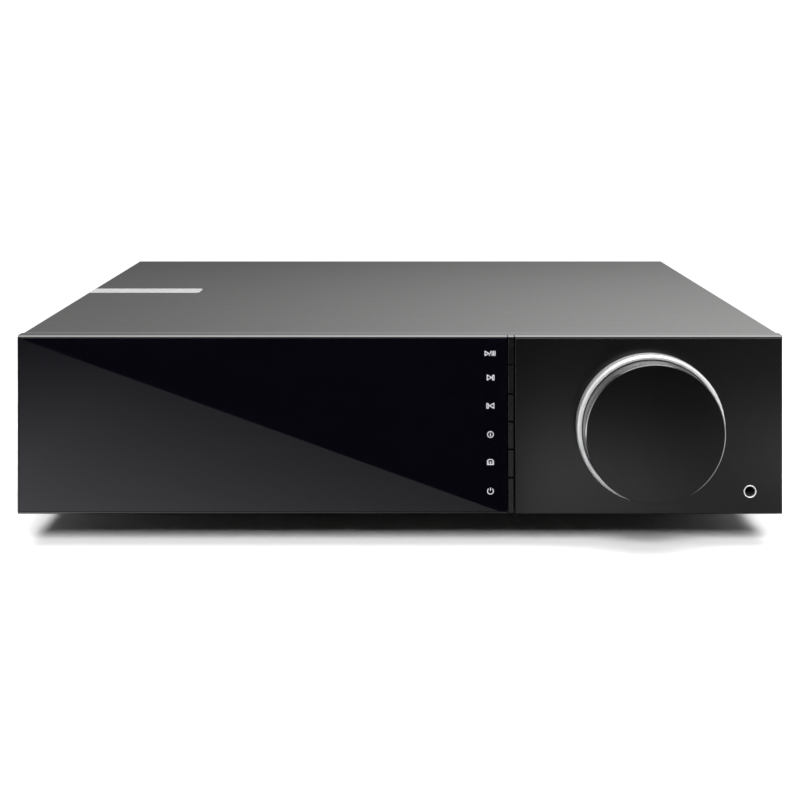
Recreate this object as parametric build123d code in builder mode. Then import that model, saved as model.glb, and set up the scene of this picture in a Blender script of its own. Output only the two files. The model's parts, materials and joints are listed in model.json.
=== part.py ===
from build123d import *

import math
import os

# Half-width streaming amplifier / desktop DAC, as an assembly of separate parts.
# Frame: millimetres, +Z up, -Y is the front, +X is to the right when facing the front.
# The origin is the centre of the footprint on the surface the feet stand on.

os.makedirs("parts", exist_ok=True)

# ------------------------------------------------------------------ driving sizes
WIDTH = 317.0  # over the front frame
DEPTH = 352.0  # knob face to the ends of the speaker terminals
HEIGHT = 89.0  # foot pads to the top of the cover
FOOT_H = 15.0  # the case stands this high off the surface
KNOB_OUT = 18.0  # the knob's face stands this far in front of the fascia
TERMINAL_OUT = 20.0  # the speaker terminals stand this far behind the rear panel

SHEET = 1.5  # steel sheet of the chassis and rear panel
CLEARANCE = 0.1  # air between parts that lie face to face
OVERCUT = 1.0  # through cuts start and end this far outside the material

HALF_WIDTH = WIDTH / 2
COVER_HALF = HALF_WIDTH - 0.4  # the cover sits this much inside the front's ends
FASCIA_Y = -DEPTH / 2 + KNOB_OUT  # front plane of the fascia
REAR_Y = DEPTH / 2 - TERMINAL_OUT  # outside of the rear panel
BASE_Z = FOOT_H  # underside of the case
TOP_Z = HEIGHT  # top of the case

# chassis
FRAME_D = 8.0  # depth of the cast front frame
FRAME_BACK_Y = FASCIA_Y + FRAME_D
WALL_Y0 = FRAME_BACK_Y + CLEARANCE  # chassis front wall
WALL_Y1 = WALL_Y0 + SHEET
RETURN_Y1 = REAR_Y - SHEET - CLEARANCE  # chassis rear returns
RETURN_Y0 = RETURN_Y1 - SHEET
CHASSIS_X = 151.5  # outside of the side walls
CHASSIS_TOP = 84.8
FLOOR_TOP = BASE_Z + SHEET
REAR_OPENING_X = 140.0  # half width between the rear returns

# circuit boards lying on standoffs
BOARD_Z = 24.5
BOARD_T = 1.6
BOARD_TOP = BOARD_Z + BOARD_T

# front face
LIP = 0.5  # frame lip seen at the left of the glass
SILL = 0.9  # and below it
BROW = 0.9  # top strip of the frame, over the glass, the keys and the knob panel
GLASS_T = 3.0
PANEL_T = 5.7  # knob panel
COLUMN_GAP = 0.4  # either side of the column of keys
GLASS_X1 = 44.4  # right edge of the glass
KEY_X0, KEY_X1 = GLASS_X1 + COLUMN_GAP, 47.2
PANEL_X0 = KEY_X1 + COLUMN_GAP  # left edge of the knob panel
GLASS_Z0, GLASS_Z1 = BASE_Z + SILL, TOP_Z - BROW
POCKET_Y = FASCIA_Y + GLASS_T + CLEARANCE  # floor of the glass tray
PLATE_Y = FASCIA_Y + PANEL_T + CLEARANCE  # front of the frame's back plate
LCD_X0, LCD_X1, LCD_Z0, LCD_Z1 = -142.0, 18.0, 20.8, 82.2  # display module

KEY_CUTS = [15.2, 30.1, 41.8, 53.3, 64.8, 77.0, 88.15]  # key ends, bottom to top
KEY_GAP = 0.3
KEY_X = (KEY_X0 + KEY_X1) / 2
STEM_Z = [(low + high) / 2 for low, high in zip(KEY_CUTS[:-1], KEY_CUTS[1:])]
STEM_Z[-1] = 80.95  # the top stem sits lower, clear of the cover
STEMS = [(KEY_X, z) for z in STEM_Z]
SYMBOLS = [(37.5, z) for z in (24.5, 36.6, 48.0, 59.9, 71.6, 81.6)]  # (x, z) of lit symbols
KEY_BOARD_Y = FASCIA_Y + 13.7

KNOB_X, KNOB_Z = 103.2, 51.5  # knob axis
KNOB_Y = FASCIA_Y - KNOB_OUT  # knob face
JACK_X, JACK_Z = 145.0, 24.4  # headphone socket

# fasteners: M3 x 6 pan head screws
SHANK_R, SHANK_L = 1.45, 6.0
HEAD_R, HEAD_H = 2.75, 1.6
TAP_R, CLEAR_R = 1.5, 1.7
SOCKET_R, SOCKET_D = 1.0, 1.0  # hexagon socket, radius across the flats

# screw places seen from the front or rear: (x, z)
LEFT_FRONT_SCREWS = [(-146.2, 24.0), (-146.2, 79.0), (24.3, 24.0), (24.3, 79.0)]
RIGHT_FRONT_SCREWS = [(62.0, 24.0), (62.0, 79.0), (146.0, 79.0), (146.0, 45.0)]
REAR_TOP_SCREWS = [(x, 80.0) for x in (-100.0, 0.0, 100.0)]
REAR_SIDE_SCREWS = [(side_sign * 145.0, z) for side_sign in (-1, 1) for z in (25.0, 72.0)]
# seen from the side: (y, z)
SIDE_SCREW_Z = 79.0
SIDE_SCREWS = [(y, SIDE_SCREW_Z) for y in (-100.0, 20.0, 130.0)]
# seen from above: (x, y)
FEET = [(-128, -74), (128, -74), (-128, 110), (128, 110)]
POWER_HOLES = [(-137, -125), (-75, -125), (-137, 45), (-75, 45)]
AMP_HOLES = [(-95, 65), (-21, 65), (-95, 125), (-21, 125)]
MAIN_HOLES = [(-3, -25), (141, -25), (-3, 120), (138, 120)]
BOARD_HOLES = POWER_HOLES + AMP_HOLES + MAIN_HOLES
FOOT_SEAT_Z = 10.9  # the foot screws' heads bear here


def on_board(x, width, height):
    """(x, z, width, height) of a rear socket's body standing on the main board."""
    return (x, BOARD_TOP + height / 2, width, height)


# rear sockets: bodies as (x, z, width, height), round ones by their axes (x, z)
INLET = (-124.0, 38.0, 27.2, 20.2)
SWITCH = (-124.0, 64.0, 20.6, 14.6)
USB_B = on_board(48.0, 12.0, 11.0)
OPTICALS = [on_board(x, 10.0, 10.0) for x in (63.0, 77.0)]
HDMI = on_board(94.0, 15.0, 6.2)
LAN = on_board(113.0, 16.0, 13.5)
USB_A = on_board(130.5, 13.2, 7.1)
POSTS = [(x, 36.0) for x in (-86.0, -67.0, -42.0, -23.0)]
RCA = [(x, z) for x in (-2.0, 14.0, 30.0) for z in (30.0, 46.0)]
ANTENNA_Z = 66.0
ANTENNAS = [(x, ANTENNA_Z) for x in (60.0, 95.0, 130.0)]


# ------------------------------------------------------------------ helpers
def front(y):
    """A plane facing the user at depth y: local x is +X, local y is +Z, outward is -Y.

    A positive extrusion from it runs forward, a negative one runs rearward.
    """
    return Plane(origin=(0, y, 0), x_dir=(1, 0, 0), z_dir=(0, -1, 0))


def side(x):
    """A plane facing +X: local x is +Y, local y is +Z."""
    return Plane(origin=(x, 0, 0), x_dir=(0, 1, 0), z_dir=(1, 0, 0))


def radial(x, z, y):
    """A plane through the depth-wise axis at (x, z): local x is the radius, local y is
    the distance behind depth y."""
    return Plane(origin=(x, y, z), x_dir=(1, 0, 0), z_dir=(0, 0, 1))


def depth_axis(x, z):
    return Axis((x, 0, z), (0, 1, 0))


def rect(x, y, width, height, mode=Mode.ADD):
    """Rectangle centred at (x, y) of the open sketch."""
    with Locations((x, y)):
        Rectangle(width, height, mode=mode)


def span(x0, x1, y0, y1):
    """Rectangle between two x and two y of the open sketch."""
    rect((x0 + x1) / 2, (y0 + y1) / 2, x1 - x0, y1 - y0)


def span_rounded(x0, x1, y0, y1, radius):
    with Locations(((x0 + x1) / 2, (y0 + y1) / 2)):
        RectangleRounded(x1 - x0, y1 - y0, radius)


def circles(places, radius, mode=Mode.ADD):
    with Locations(*places):
        Circle(radius, mode=mode)


def row(x, y, pitch, count, width, height, mode=Mode.ADD):
    """A row of equal rectangles along local x, centred at (x, y)."""
    with Locations((x, y)):
        with GridLocations(pitch, 1, count, 1):
            Rectangle(width, height, mode=mode)


def cut(amount):
    """Extrude the last sketch and take it away."""
    extrude(amount=amount, mode=Mode.SUBTRACT)


def turned(profile, places, y):
    """Revolve a (radius, distance behind y) profile about the depth-wise axis at each (x, z)."""
    with BuildPart() as body:
        for x, z in places:
            with BuildSketch(radial(x, z, y)):
                with BuildLine():
                    Polyline(*profile, close=True)
                make_face()
            revolve(axis=depth_axis(x, z))
    return body.part


def save(name, part):
    part.label = name
    export_step(part, f"parts/{name}.step")


# ================================================================== enclosure
# banks of cooling slots in the floor: centre x, centre y, columns, rows
COOLING_BANKS = [(-106, -14, 2, 8), (-58, 95, 2, 7), (66, 40, 3, 12)]
COVER_T = 4.0  # top cover plate
COVER_Y0 = FRAME_BACK_Y + 0.6
FLANGE_X = CHASSIS_X - SHEET - CLEARANCE - SHEET / 2  # middle of the cover's side flanges
FLANGE_Y, FLANGE_L, FLANGE_H = 10, 260, 11

BADGE_X1, BADGE_Y0, BADGE_Y1, BADGE_T = -101.9, -6.6, 12.0, 1.0
BADGE_R = 3.0
BADGE_OVERHANG = 10  # its outline is drawn this far past the cover's left edge
BADGE_GAP = 0.05

SOCKET_FIT, SWITCH_FIT = 0.4, 0.2  # panel openings over the bodies' sizes
ROUND_OPENING_R, ANTENNA_OPENING_R = 5.2, 3.3

PANEL_IN, PANEL_OUT = CHASSIS_X + CLEARANCE, COVER_HALF - 0.05  # side panel, from X = 0
PANEL_Z0, PANEL_Z1 = 15.2, 84.7
PANEL_REAR_Y = REAR_Y - 0.2
FLUTES, FLUTE_STEPS = 9, 8  # flutes, and spline points in each
FLUTE_DEPTH = 1.584
PANEL_FOOT_IN = 0.8  # the bottom edge lies this far inside the outermost surface
MAGNETS = [(y, z) for y in (-110.0, 115.0) for z in (28.0, 66.0)]  # (y, z)
MAGNET_R, MAGNET_T = 4.9, 2.5
MAGNET_POCKET_R, MAGNET_POCKET_D = 5.1, 2.6

# feet, as (radius, z)
FOOT_PROFILE = [
    (CLEAR_R, FOOT_SEAT_Z), (CLEAR_R, BASE_Z), (19.0, BASE_Z), (19.0, 12.2),
    (18.2, 11.4), (18.2, 10.6), (19.0, 9.8), (19.0, 6.0), (17.4, 1.0), (16.0, 1.0),
    (16.0, 2.2), (3.2, 2.2), (3.2, FOOT_SEAT_Z),
]
PAD_R, PAD_T = 15.9, 2.1


def base_chassis():
    """Folded steel tray: floor, side walls, front wall and two rear return flanges."""
    with BuildPart() as tray:
        with BuildSketch(Plane.XY.offset(BASE_Z)):
            span(-CHASSIS_X, CHASSIS_X, WALL_Y0, RETURN_Y1)
        extrude(amount=CHASSIS_TOP - BASE_Z)
        fillet(tray.edges().filter_by(Axis.Z), 1.0)
        with BuildSketch(Plane.XY.offset(FLOOR_TOP)):
            span(-CHASSIS_X + SHEET, CHASSIS_X - SHEET, WALL_Y1, RETURN_Y0)
        cut(CHASSIS_TOP)
        # rear: open between the two return flanges
        with BuildSketch(front(RETURN_Y1 + OVERCUT)):
            span(-REAR_OPENING_X, REAR_OPENING_X, FLOOR_TOP, CHASSIS_TOP + OVERCUT)
        cut(SHEET + 2 * OVERCUT)
        # front wall: display wiring, key column, encoder and headphone openings
        with BuildSketch(front(WALL_Y0 - OVERCUT)):
            rect(-62, 51, 84, 36)
            rect(39.25, 53.5, 22.5, 73)
            rect(KNOB_X, KNOB_Z, 27, 27)
            rect(JACK_X, JACK_Z, 13.8, 12.5)
            circles(RIGHT_FRONT_SCREWS, 3.4)  # passes the screw heads
            circles(LEFT_FRONT_SCREWS, CLEAR_R)
        cut(-(SHEET + 2 * OVERCUT))
        # cover screws through the side walls
        with BuildSketch(side(-CHASSIS_X - OVERCUT)):
            circles(SIDE_SCREWS, CLEAR_R)
        cut(2 * (CHASSIS_X + OVERCUT))
        # rear returns: tapped for the rear panel
        with BuildSketch(front(RETURN_Y0 - OVERCUT)):
            circles(REAR_SIDE_SCREWS, TAP_R)
        cut(-(SHEET + 2 * OVERCUT))
        # floor: board standoffs, foot screws and cooling slots
        with BuildSketch(Plane.XY.offset(BASE_Z - OVERCUT)):
            circles(BOARD_HOLES, TAP_R)
            circles(FEET, TAP_R)
            for x, y, columns, rows in COOLING_BANKS:
                with Locations((x, y)):
                    with GridLocations(36, 8, columns, rows):
                        SlotOverall(28, 3)
        cut(SHEET + 2 * OVERCUT)
    return tray.part


def top_cover():
    """Machined aluminium cover plate with inward flanges that take the screws."""
    with BuildPart() as cover:
        with BuildSketch(Plane.XY.offset(TOP_Z - COVER_T)):
            span(-COVER_HALF, COVER_HALF, COVER_Y0, REAR_Y)
        extrude(amount=COVER_T)
        chamfer(cover.faces().sort_by(Axis.Z)[-1].edges(), 0.5)
        # side flanges inside the chassis walls, rear flange between the returns
        with BuildSketch(Plane.XY.offset(TOP_Z - COVER_T)):
            with Locations((-FLANGE_X, FLANGE_Y), (FLANGE_X, FLANGE_Y)):
                Rectangle(SHEET, FLANGE_L)
            span(-REAR_OPENING_X + 2, REAR_OPENING_X - 2, RETURN_Y0, RETURN_Y1)
        extrude(amount=-FLANGE_H)
        with BuildSketch(side(-CHASSIS_X - OVERCUT)):
            circles(SIDE_SCREWS, TAP_R)
        cut(2 * (CHASSIS_X + OVERCUT))
        with BuildSketch(front(RETURN_Y0 - OVERCUT)):
            circles(REAR_TOP_SCREWS, TAP_R)
        cut(-(SHEET + 2 * OVERCUT))
        # seat for the bright strip, running over the left edge
        with BuildSketch(Plane.XY.offset(TOP_Z - BADGE_T)):
            span_rounded(-COVER_HALF - BADGE_OVERHANG, BADGE_X1, BADGE_Y0, BADGE_Y1, BADGE_R)
        cut(BADGE_T + OVERCUT)
        with BuildSketch(Plane.XY.offset(TOP_Z - COVER_T)):
            span(-COVER_HALF, -COVER_HALF + BADGE_T, BADGE_Y0, BADGE_Y1)
        cut(COVER_T)
    return cover.part


def badge_strip():
    """Bright aluminium strip let into the cover and folded over its left edge."""
    y0, y1 = BADGE_Y0 + BADGE_GAP, BADGE_Y1 - BADGE_GAP
    drawn_x0 = -COVER_HALF - BADGE_OVERHANG
    with BuildPart() as strip:
        with BuildSketch(Plane.XY.offset(TOP_Z - BADGE_T)):
            span_rounded(drawn_x0 + BADGE_GAP, BADGE_X1 - BADGE_GAP, y0, y1, BADGE_R - BADGE_GAP)
            # trim flush with the cover's edge
            rect(drawn_x0, (y0 + y1) / 2, 2 * BADGE_OVERHANG, 40, mode=Mode.SUBTRACT)
        extrude(amount=BADGE_T)
        with BuildSketch(Plane.XY.offset(TOP_Z - COVER_T)):
            span(-COVER_HALF, -COVER_HALF + BADGE_T - BADGE_GAP, y0, y1)
        extrude(amount=COVER_T)
        fold = strip.edges().filter_by(Axis.Y).group_by(Axis.Z)[-1].sort_by(Axis.X)[0]
        fillet(fold, 0.6)
    return strip.part


def rear_panel():
    """Steel rear panel with the openings for every socket."""
    edge_x = CHASSIS_X - CLEARANCE
    with BuildPart() as panel:
        with BuildSketch(front(REAR_Y - SHEET)):
            span(-edge_x, edge_x, BASE_Z + CLEARANCE, CHASSIS_TOP - CLEARANCE)
        extrude(amount=-SHEET)
        with BuildSketch(front(REAR_Y + OVERCUT)):
            for x, z, width, height in [INLET, USB_B, *OPTICALS, HDMI, LAN, USB_A]:
                rect(x, z, width + SOCKET_FIT, height + SOCKET_FIT)
            x, z, width, height = SWITCH
            rect(x, z, width + SWITCH_FIT, height + SWITCH_FIT)
            circles(POSTS + RCA, ROUND_OPENING_R)
            circles(ANTENNAS, ANTENNA_OPENING_R)
            circles(REAR_TOP_SCREWS + REAR_SIDE_SCREWS, CLEAR_R)
            # row of upright slots
            with Locations((-30, ANTENNA_Z - 1)):
                with GridLocations(5, 10, 27, 1):
                    SlotOverall(13, 2.2, rotation=90)
        cut(SHEET + 2 * OVERCUT)
    return panel.part


def side_panel(sign):
    """Fluted composite side panel held on by magnets; sign is -1 for left, 1 for right."""
    wave = [(PANEL_OUT - PANEL_FOOT_IN, PANEL_Z0)]
    for step in range(1, FLUTES * FLUTE_STEPS + 1):
        flutes_up = step / FLUTE_STEPS
        depth = FLUTE_DEPTH / 2 * (1 + math.cos(2 * math.pi * flutes_up))
        wave.append((PANEL_OUT - depth, PANEL_Z0 + flutes_up / FLUTES * (PANEL_Z1 - PANEL_Z0)))
    # local x runs outward from the centre plane, local y runs along +Z
    section = Plane(origin=(0, PANEL_REAR_Y, 0), x_dir=(sign, 0, 0), z_dir=(0, -sign, 0))
    with BuildPart() as panel:
        with BuildSketch(section):
            with BuildLine():
                Line((PANEL_IN, PANEL_Z0), wave[0])
                Spline(*wave)
                Polyline(wave[-1], (PANEL_IN, PANEL_Z1), (PANEL_IN, PANEL_Z0))
            make_face()
        extrude(amount=sign * (PANEL_REAR_Y - COVER_Y0))
        # relief behind the panel for the cover screw heads, and the magnet pockets
        with BuildSketch(side(sign * PANEL_IN)):
            rect(FLANGE_Y, SIDE_SCREW_Z, FLANGE_L + 10, 7)
        cut(sign * 1.9)
        with BuildSketch(side(sign * PANEL_IN)):
            circles(MAGNETS, MAGNET_POCKET_R)
        cut(sign * MAGNET_POCKET_D)
    return panel.part


def side_magnets():
    """Disc magnets glued to the chassis walls; the side panels' pockets fit over them."""
    with BuildPart() as magnets:
        for sign in (-1, 1):
            with BuildSketch(side(sign * CHASSIS_X)):
                circles(MAGNETS, MAGNET_R)
            extrude(amount=sign * MAGNET_T)
    return magnets.part


def feet():
    """Turned-look moulded cones with a counterbored screw hole and a pad seat."""
    with BuildPart() as cones:
        for x, y in FEET:
            with BuildSketch(Plane(origin=(x, y, 0), x_dir=(1, 0, 0), z_dir=(0, -1, 0))):
                with BuildLine():
                    Polyline(*FOOT_PROFILE, close=True)
                make_face()
            revolve(axis=Axis((x, y, 0), (0, 0, 1)))
    return cones.part


def foot_pads():
    with BuildPart() as pads:
        with BuildSketch():
            circles(FEET, PAD_R)
        extrude(amount=PAD_T)
        chamfer(pads.faces().filter_by(Axis.Z).group_by(Axis.Z)[0].edges(), 0.4)
    return pads.part


# ================================================================== fasteners
def screw_seats():
    """Where each screw head bears, and the direction its head points."""
    rearward, upward, downward = (0, 1, 0), (0, 0, 1), (0, 0, -1)
    seats = [((x, WALL_Y1, z), rearward) for x, z in LEFT_FRONT_SCREWS]
    seats += [((x, FRAME_BACK_Y, z), rearward) for x, z in RIGHT_FRONT_SCREWS]
    for sign in (-1, 1):
        seats += [((sign * CHASSIS_X, y, z), (sign, 0, 0)) for y, z in SIDE_SCREWS]
    seats += [((x, REAR_Y, z), rearward) for x, z in REAR_TOP_SCREWS + REAR_SIDE_SCREWS]
    seats += [((x, y, BOARD_TOP), upward) for x, y in BOARD_HOLES]
    seats += [((x, y, FOOT_SEAT_Z), downward) for x, y in FEET]
    return seats


def machine_screws():
    """All the screws: the same pan head with a hexagon socket."""
    with BuildPart() as screws:
        for seat, head_direction in screw_seats():
            seat_plane = Plane(origin=seat, z_dir=head_direction)
            with BuildSketch(seat_plane):
                Circle(HEAD_R)
            extrude(amount=HEAD_H)
            with BuildSketch(seat_plane):
                Circle(SHANK_R)
            extrude(amount=-SHANK_L)
            with BuildSketch(seat_plane.offset(HEAD_H)):
                RegularPolygon(SOCKET_R, 6, major_radius=False)
            cut(-SOCKET_D)
    return screws.part


# ================================================================== front
PLATE_X0 = GLASS_X1 - 5  # the right-hand plate runs this far in behind the glass
TRAY_X1 = GLASS_X1 + 0.1  # right end of the glass tray
LCD_FIT = 0.3  # round the display in its opening
LCD_BACK_Y, LCD_T = FRAME_BACK_Y - 0.7, 3.4

DISPLAY_BOARD_Y = WALL_Y1 + 0.2
DISPLAY_CONNECTOR_Y = DISPLAY_BOARD_Y + BOARD_T  # face that carries the ribbon connector
DISPLAY_CONNECTOR_H = 2.5
RIBBON_X = 14
RIBBON_CONNECTOR = (26, 5)

KEY_NAMES = ["power", "source", "info", "previous", "next", "play"]
KEY_BACK_Y = PLATE_Y - 0.8  # back of the face bars
KEY_FLANGE_Y, KEY_FLANGE_T = FRAME_BACK_Y + 0.2, 1.2
SWITCH_H = 3.5  # key switches, off their board

BUSH_R, NUT_BORE_R = 5.0, 5.05
PANEL_JACK_R = 2.66  # headphone hole in the knob panel


def fascia_edges(frame, z):
    """Edges of the frame in the fascia plane at height z."""
    in_fascia = frame.edges().filter_by(lambda e: abs(e.center().Y - FASCIA_Y) < 0.01)
    return in_fascia.filter_by(lambda e: abs(e.center().Z - z) < 0.01)


def front_frame():
    """Cast aluminium frame: a glass tray on the left, a thin back plate on the right,
    and a bevelled strip along the whole top edge."""
    with BuildPart() as frame:
        with BuildSketch(front(FRAME_BACK_Y)):
            span(-HALF_WIDTH, TRAY_X1, BASE_Z, TOP_Z)
        extrude(amount=FRAME_D)
        with BuildSketch(front(FRAME_BACK_Y)):
            span(PLATE_X0, HALF_WIDTH, BASE_Z + 0.6, TOP_Z - BROW)
        extrude(amount=FRAME_BACK_Y - PLATE_Y)
        with BuildSketch(front(FRAME_BACK_Y)):
            span(PLATE_X0, HALF_WIDTH, TOP_Z - BROW, TOP_Z)
        extrude(amount=FRAME_D)
        # pocket for the glass
        with BuildSketch(front(POCKET_Y)):
            span(-HALF_WIDTH + LIP, TRAY_X1, GLASS_Z0, GLASS_Z1)
        cut(10)
        # display, light guide, key stems, encoder bush, headphone socket and screws
        with BuildSketch(front(FRAME_BACK_Y + OVERCUT)):
            span(LCD_X0 - LCD_FIT, LCD_X1 + LCD_FIT, LCD_Z0 - LCD_FIT, LCD_Z1 + LCD_FIT)
            rect(37.0, 52.0, 12.0, 68.0)
            with Locations(*STEMS):
                Rectangle(2.6, 8.2)
            circles([(KNOB_X, KNOB_Z)], 5.1)
            circles([(JACK_X, JACK_Z)], 3.5)
            circles(RIGHT_FRONT_SCREWS, CLEAR_R)
        cut(30)
        with BuildSketch(front(FRAME_BACK_Y)):
            circles(LEFT_FRONT_SCREWS, TAP_R)
        cut(4.5)
        chamfer(fascia_edges(frame, TOP_Z), 0.62)
        chamfer(fascia_edges(frame, BASE_Z), 0.45)
        # two fine notches in the top strip, in line with the sides of the key column
        with BuildSketch(front(FASCIA_Y - OVERCUT)):
            with Locations((GLASS_X1 + COLUMN_GAP / 2, TOP_Z), (PANEL_X0 - COLUMN_GAP / 2, TOP_Z)):
                Rectangle(COLUMN_GAP, 2 * BROW + 0.2)
        cut(-2.6)
    return frame.part


def front_glass():
    """Black-backed cover glass over the display."""
    with BuildPart() as glass:
        with BuildSketch(front(FASCIA_Y)):
            x0 = -HALF_WIDTH + LIP + CLEARANCE
            span_rounded(x0, GLASS_X1, GLASS_Z0 + 0.06, GLASS_Z1 - 0.06, 0.4)
        extrude(amount=-GLASS_T)
        chamfer(glass.faces().sort_by(Axis.Y)[0].edges(), 0.15)
    return glass.part


def display_module():
    """Colour display: metal can with the active screen standing proud of its front."""
    with BuildPart() as display:
        with BuildSketch(front(LCD_BACK_Y)):
            span_rounded(LCD_X0, LCD_X1, LCD_Z0, LCD_Z1, 1.0)
        extrude(amount=LCD_T)
        with BuildSketch(front(LCD_BACK_Y - LCD_T)):
            span(LCD_X0 + 3, LCD_X1 - 3, LCD_Z0 + 5, LCD_Z1 - 3)
        extrude(amount=0.6)
    return display.part


def display_board():
    with BuildPart() as board:
        with BuildSketch(front(DISPLAY_BOARD_Y)):
            with Locations((-41.5, 51)):
                Rectangle(137, 46)
                with GridLocations(129, 38, 2, 2):
                    Circle(1.6, mode=Mode.SUBTRACT)
        extrude(amount=-BOARD_T)
        # two components on the front face
        with BuildSketch(front(DISPLAY_BOARD_Y)):
            rect(-80, 55, 14, 14)
            rect(-50, 50, 24, 5)
        extrude(amount=1.3)
        with BuildSketch(front(DISPLAY_CONNECTOR_Y)):
            rect(RIBBON_X, 34, *RIBBON_CONNECTOR)
        extrude(amount=-DISPLAY_CONNECTOR_H)
    return board.part


def icon_light_guide():
    """White light box behind the lit key symbols, one cell per symbol."""
    with BuildPart() as guide:
        with BuildSketch(front(KEY_BOARD_Y)):
            rect(37.0, 51.6, 11.6, 66.4)
            circles(SYMBOLS, 2.4, mode=Mode.SUBTRACT)
        extrude(amount=KEY_BOARD_Y - POCKET_Y - CLEARANCE)
    return guide.part


def knob_panel():
    """Plate with knob and headphone holes, under the frame's top strip."""
    with BuildPart() as panel:
        with BuildSketch(front(FASCIA_Y)):
            span(PANEL_X0, HALF_WIDTH, BASE_Z, TOP_Z - BROW - 0.05)
            circles([(KNOB_X, KNOB_Z)], 20.0, mode=Mode.SUBTRACT)
            circles([(JACK_X, JACK_Z)], PANEL_JACK_R, mode=Mode.SUBTRACT)
        extrude(amount=-PANEL_T)
        chamfer(panel.faces().sort_by(Axis.Y)[0].outer_wire().edges(), 0.35)
        with BuildSketch(front(FASCIA_Y + PANEL_T)):
            circles(RIGHT_FRONT_SCREWS, TAP_R)
        cut(4.0)
    return panel.part


def key(z0, z1, stem_z):
    """A narrow key: a face bar, a stem through the frame, a retaining flange and a nib."""
    with BuildPart() as body:
        with BuildSketch(front(KEY_BACK_Y)):
            span(KEY_X0, KEY_X1, z0, z1)
        extrude(amount=KEY_BACK_Y - FASCIA_Y)
        chamfer(body.faces().sort_by(Axis.Y)[0].edges(), 0.25)
        with BuildSketch(front(KEY_BACK_Y)):
            rect(KEY_X, stem_z, 2.0, 7.6)
        extrude(amount=-(KEY_FLANGE_Y - KEY_BACK_Y))
        with BuildSketch(front(KEY_FLANGE_Y)):
            rect(KEY_X, stem_z, 4.8, 6.8)
        extrude(amount=-KEY_FLANGE_T)
        with BuildSketch(front(KEY_FLANGE_Y + KEY_FLANGE_T)):
            circles([(KEY_X, stem_z)], 1.1)
        extrude(amount=-1.7)
    return body.part


def key_board():
    """Upright board with a lamp behind each symbol and a connector on its rear face."""
    with BuildPart() as board:
        with BuildSketch(front(KEY_BOARD_Y)):
            rect(44.0, 50.5, 30.0, 67.0)
        extrude(amount=-BOARD_T)
        with BuildSketch(front(KEY_BOARD_Y)):
            with Locations(*SYMBOLS):
                Rectangle(3.0, 1.6)
        extrude(amount=0.8)
        with BuildSketch(front(KEY_BOARD_Y + BOARD_T)):
            rect(52.0, 30.0, 6.0, 14.0)
        extrude(amount=-3.0)
    return board.part


def key_switches():
    with BuildPart() as switches:
        with BuildSketch(front(KEY_BOARD_Y)):
            with Locations(*STEMS):
                Rectangle(6.0, 6.0)
        extrude(amount=SWITCH_H)
        with BuildSketch(front(KEY_BOARD_Y - SWITCH_H)):
            circles(STEMS, 1.4)
        cut(-1.6)
    return switches.part


# ================================================================== knob and ring
KNOB_R, KNOB_FACE_R, KNOB_FACE_T = 28.35, 27.95, 1.0
GROOVES, GROOVE_START, GROOVE_PITCH, GROOVE_D = 4, 4.4, 1.5, 0.35
RING_R, RING_IN_R, RING_ROUND = 30.5, 28.65, 1.3
HUB_R = RING_IN_R - 0.02
INNER_SHAFT_R, OUTER_SHAFT_R = 2.0, 3.5
INNER_BORE_R = 2.08  # bores that the inner shaft turns in
ENCODER_D = 12
ENCODER_PINS = (KNOB_X, KNOB_Z - 8, 3.5, 5)  # x, z, pitch, count
JACK_PINS = (JACK_X, JACK_Z + 3, 2.5, 3)
PIN_SIZE, PIN_HOLE = (0.8, 0.5), (1.1, 0.8)


def volume_knob():
    """Hollow knob with grooves round its side and a central boss for the inner shaft."""
    rim = KNOB_FACE_R + 0.02
    skirt_in = KNOB_R - 2.6
    profile = [(0, KNOB_FACE_T), (rim, KNOB_FACE_T), (rim, 0), (KNOB_R, 0.4)]
    for i in range(GROOVES):
        start = GROOVE_START + GROOVE_PITCH * i
        profile += [
            (KNOB_R, start), (KNOB_R - GROOVE_D, start + 0.3),
            (KNOB_R - GROOVE_D, start + 0.6), (KNOB_R, start + 0.9),
        ]
    profile += [
        (KNOB_R, 13.4), (KNOB_R - 0.4, 13.8), (skirt_in, 13.8), (skirt_in, 3.8),
        (6.0, 3.8), (6.0, 11.8), (2.02, 11.8), (2.02, 3.8), (0, 3.8),
    ]
    return turned(profile, [(KNOB_X, KNOB_Z)], KNOB_Y)


def knob_face():
    with BuildPart() as face:
        with BuildSketch(front(KNOB_Y)):
            circles([(KNOB_X, KNOB_Z)], KNOB_FACE_R)
        extrude(amount=-KNOB_FACE_T)
    return face.part


def source_ring():
    """Ring round the knob, with a rounded front corner."""
    front_end = -7.4
    arc_start = (RING_R, front_end + RING_ROUND)
    arc_end = (RING_R - RING_ROUND, front_end)
    inner_end = (RING_IN_R + 0.2, front_end)
    with BuildPart() as ring:
        with BuildSketch(radial(KNOB_X, KNOB_Z, FASCIA_Y)):
            with BuildLine():
                Polyline(
                    inner_end, (RING_IN_R, -7.2), (RING_IN_R, -0.6),
                    (RING_R - 0.3, -0.6), (RING_R, -0.9), arc_start,
                )
                RadiusArc(arc_start, arc_end, RING_ROUND)
                Line(arc_end, inner_end)
            make_face()
        revolve(axis=depth_axis(KNOB_X, KNOB_Z))
    return ring.part


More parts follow.
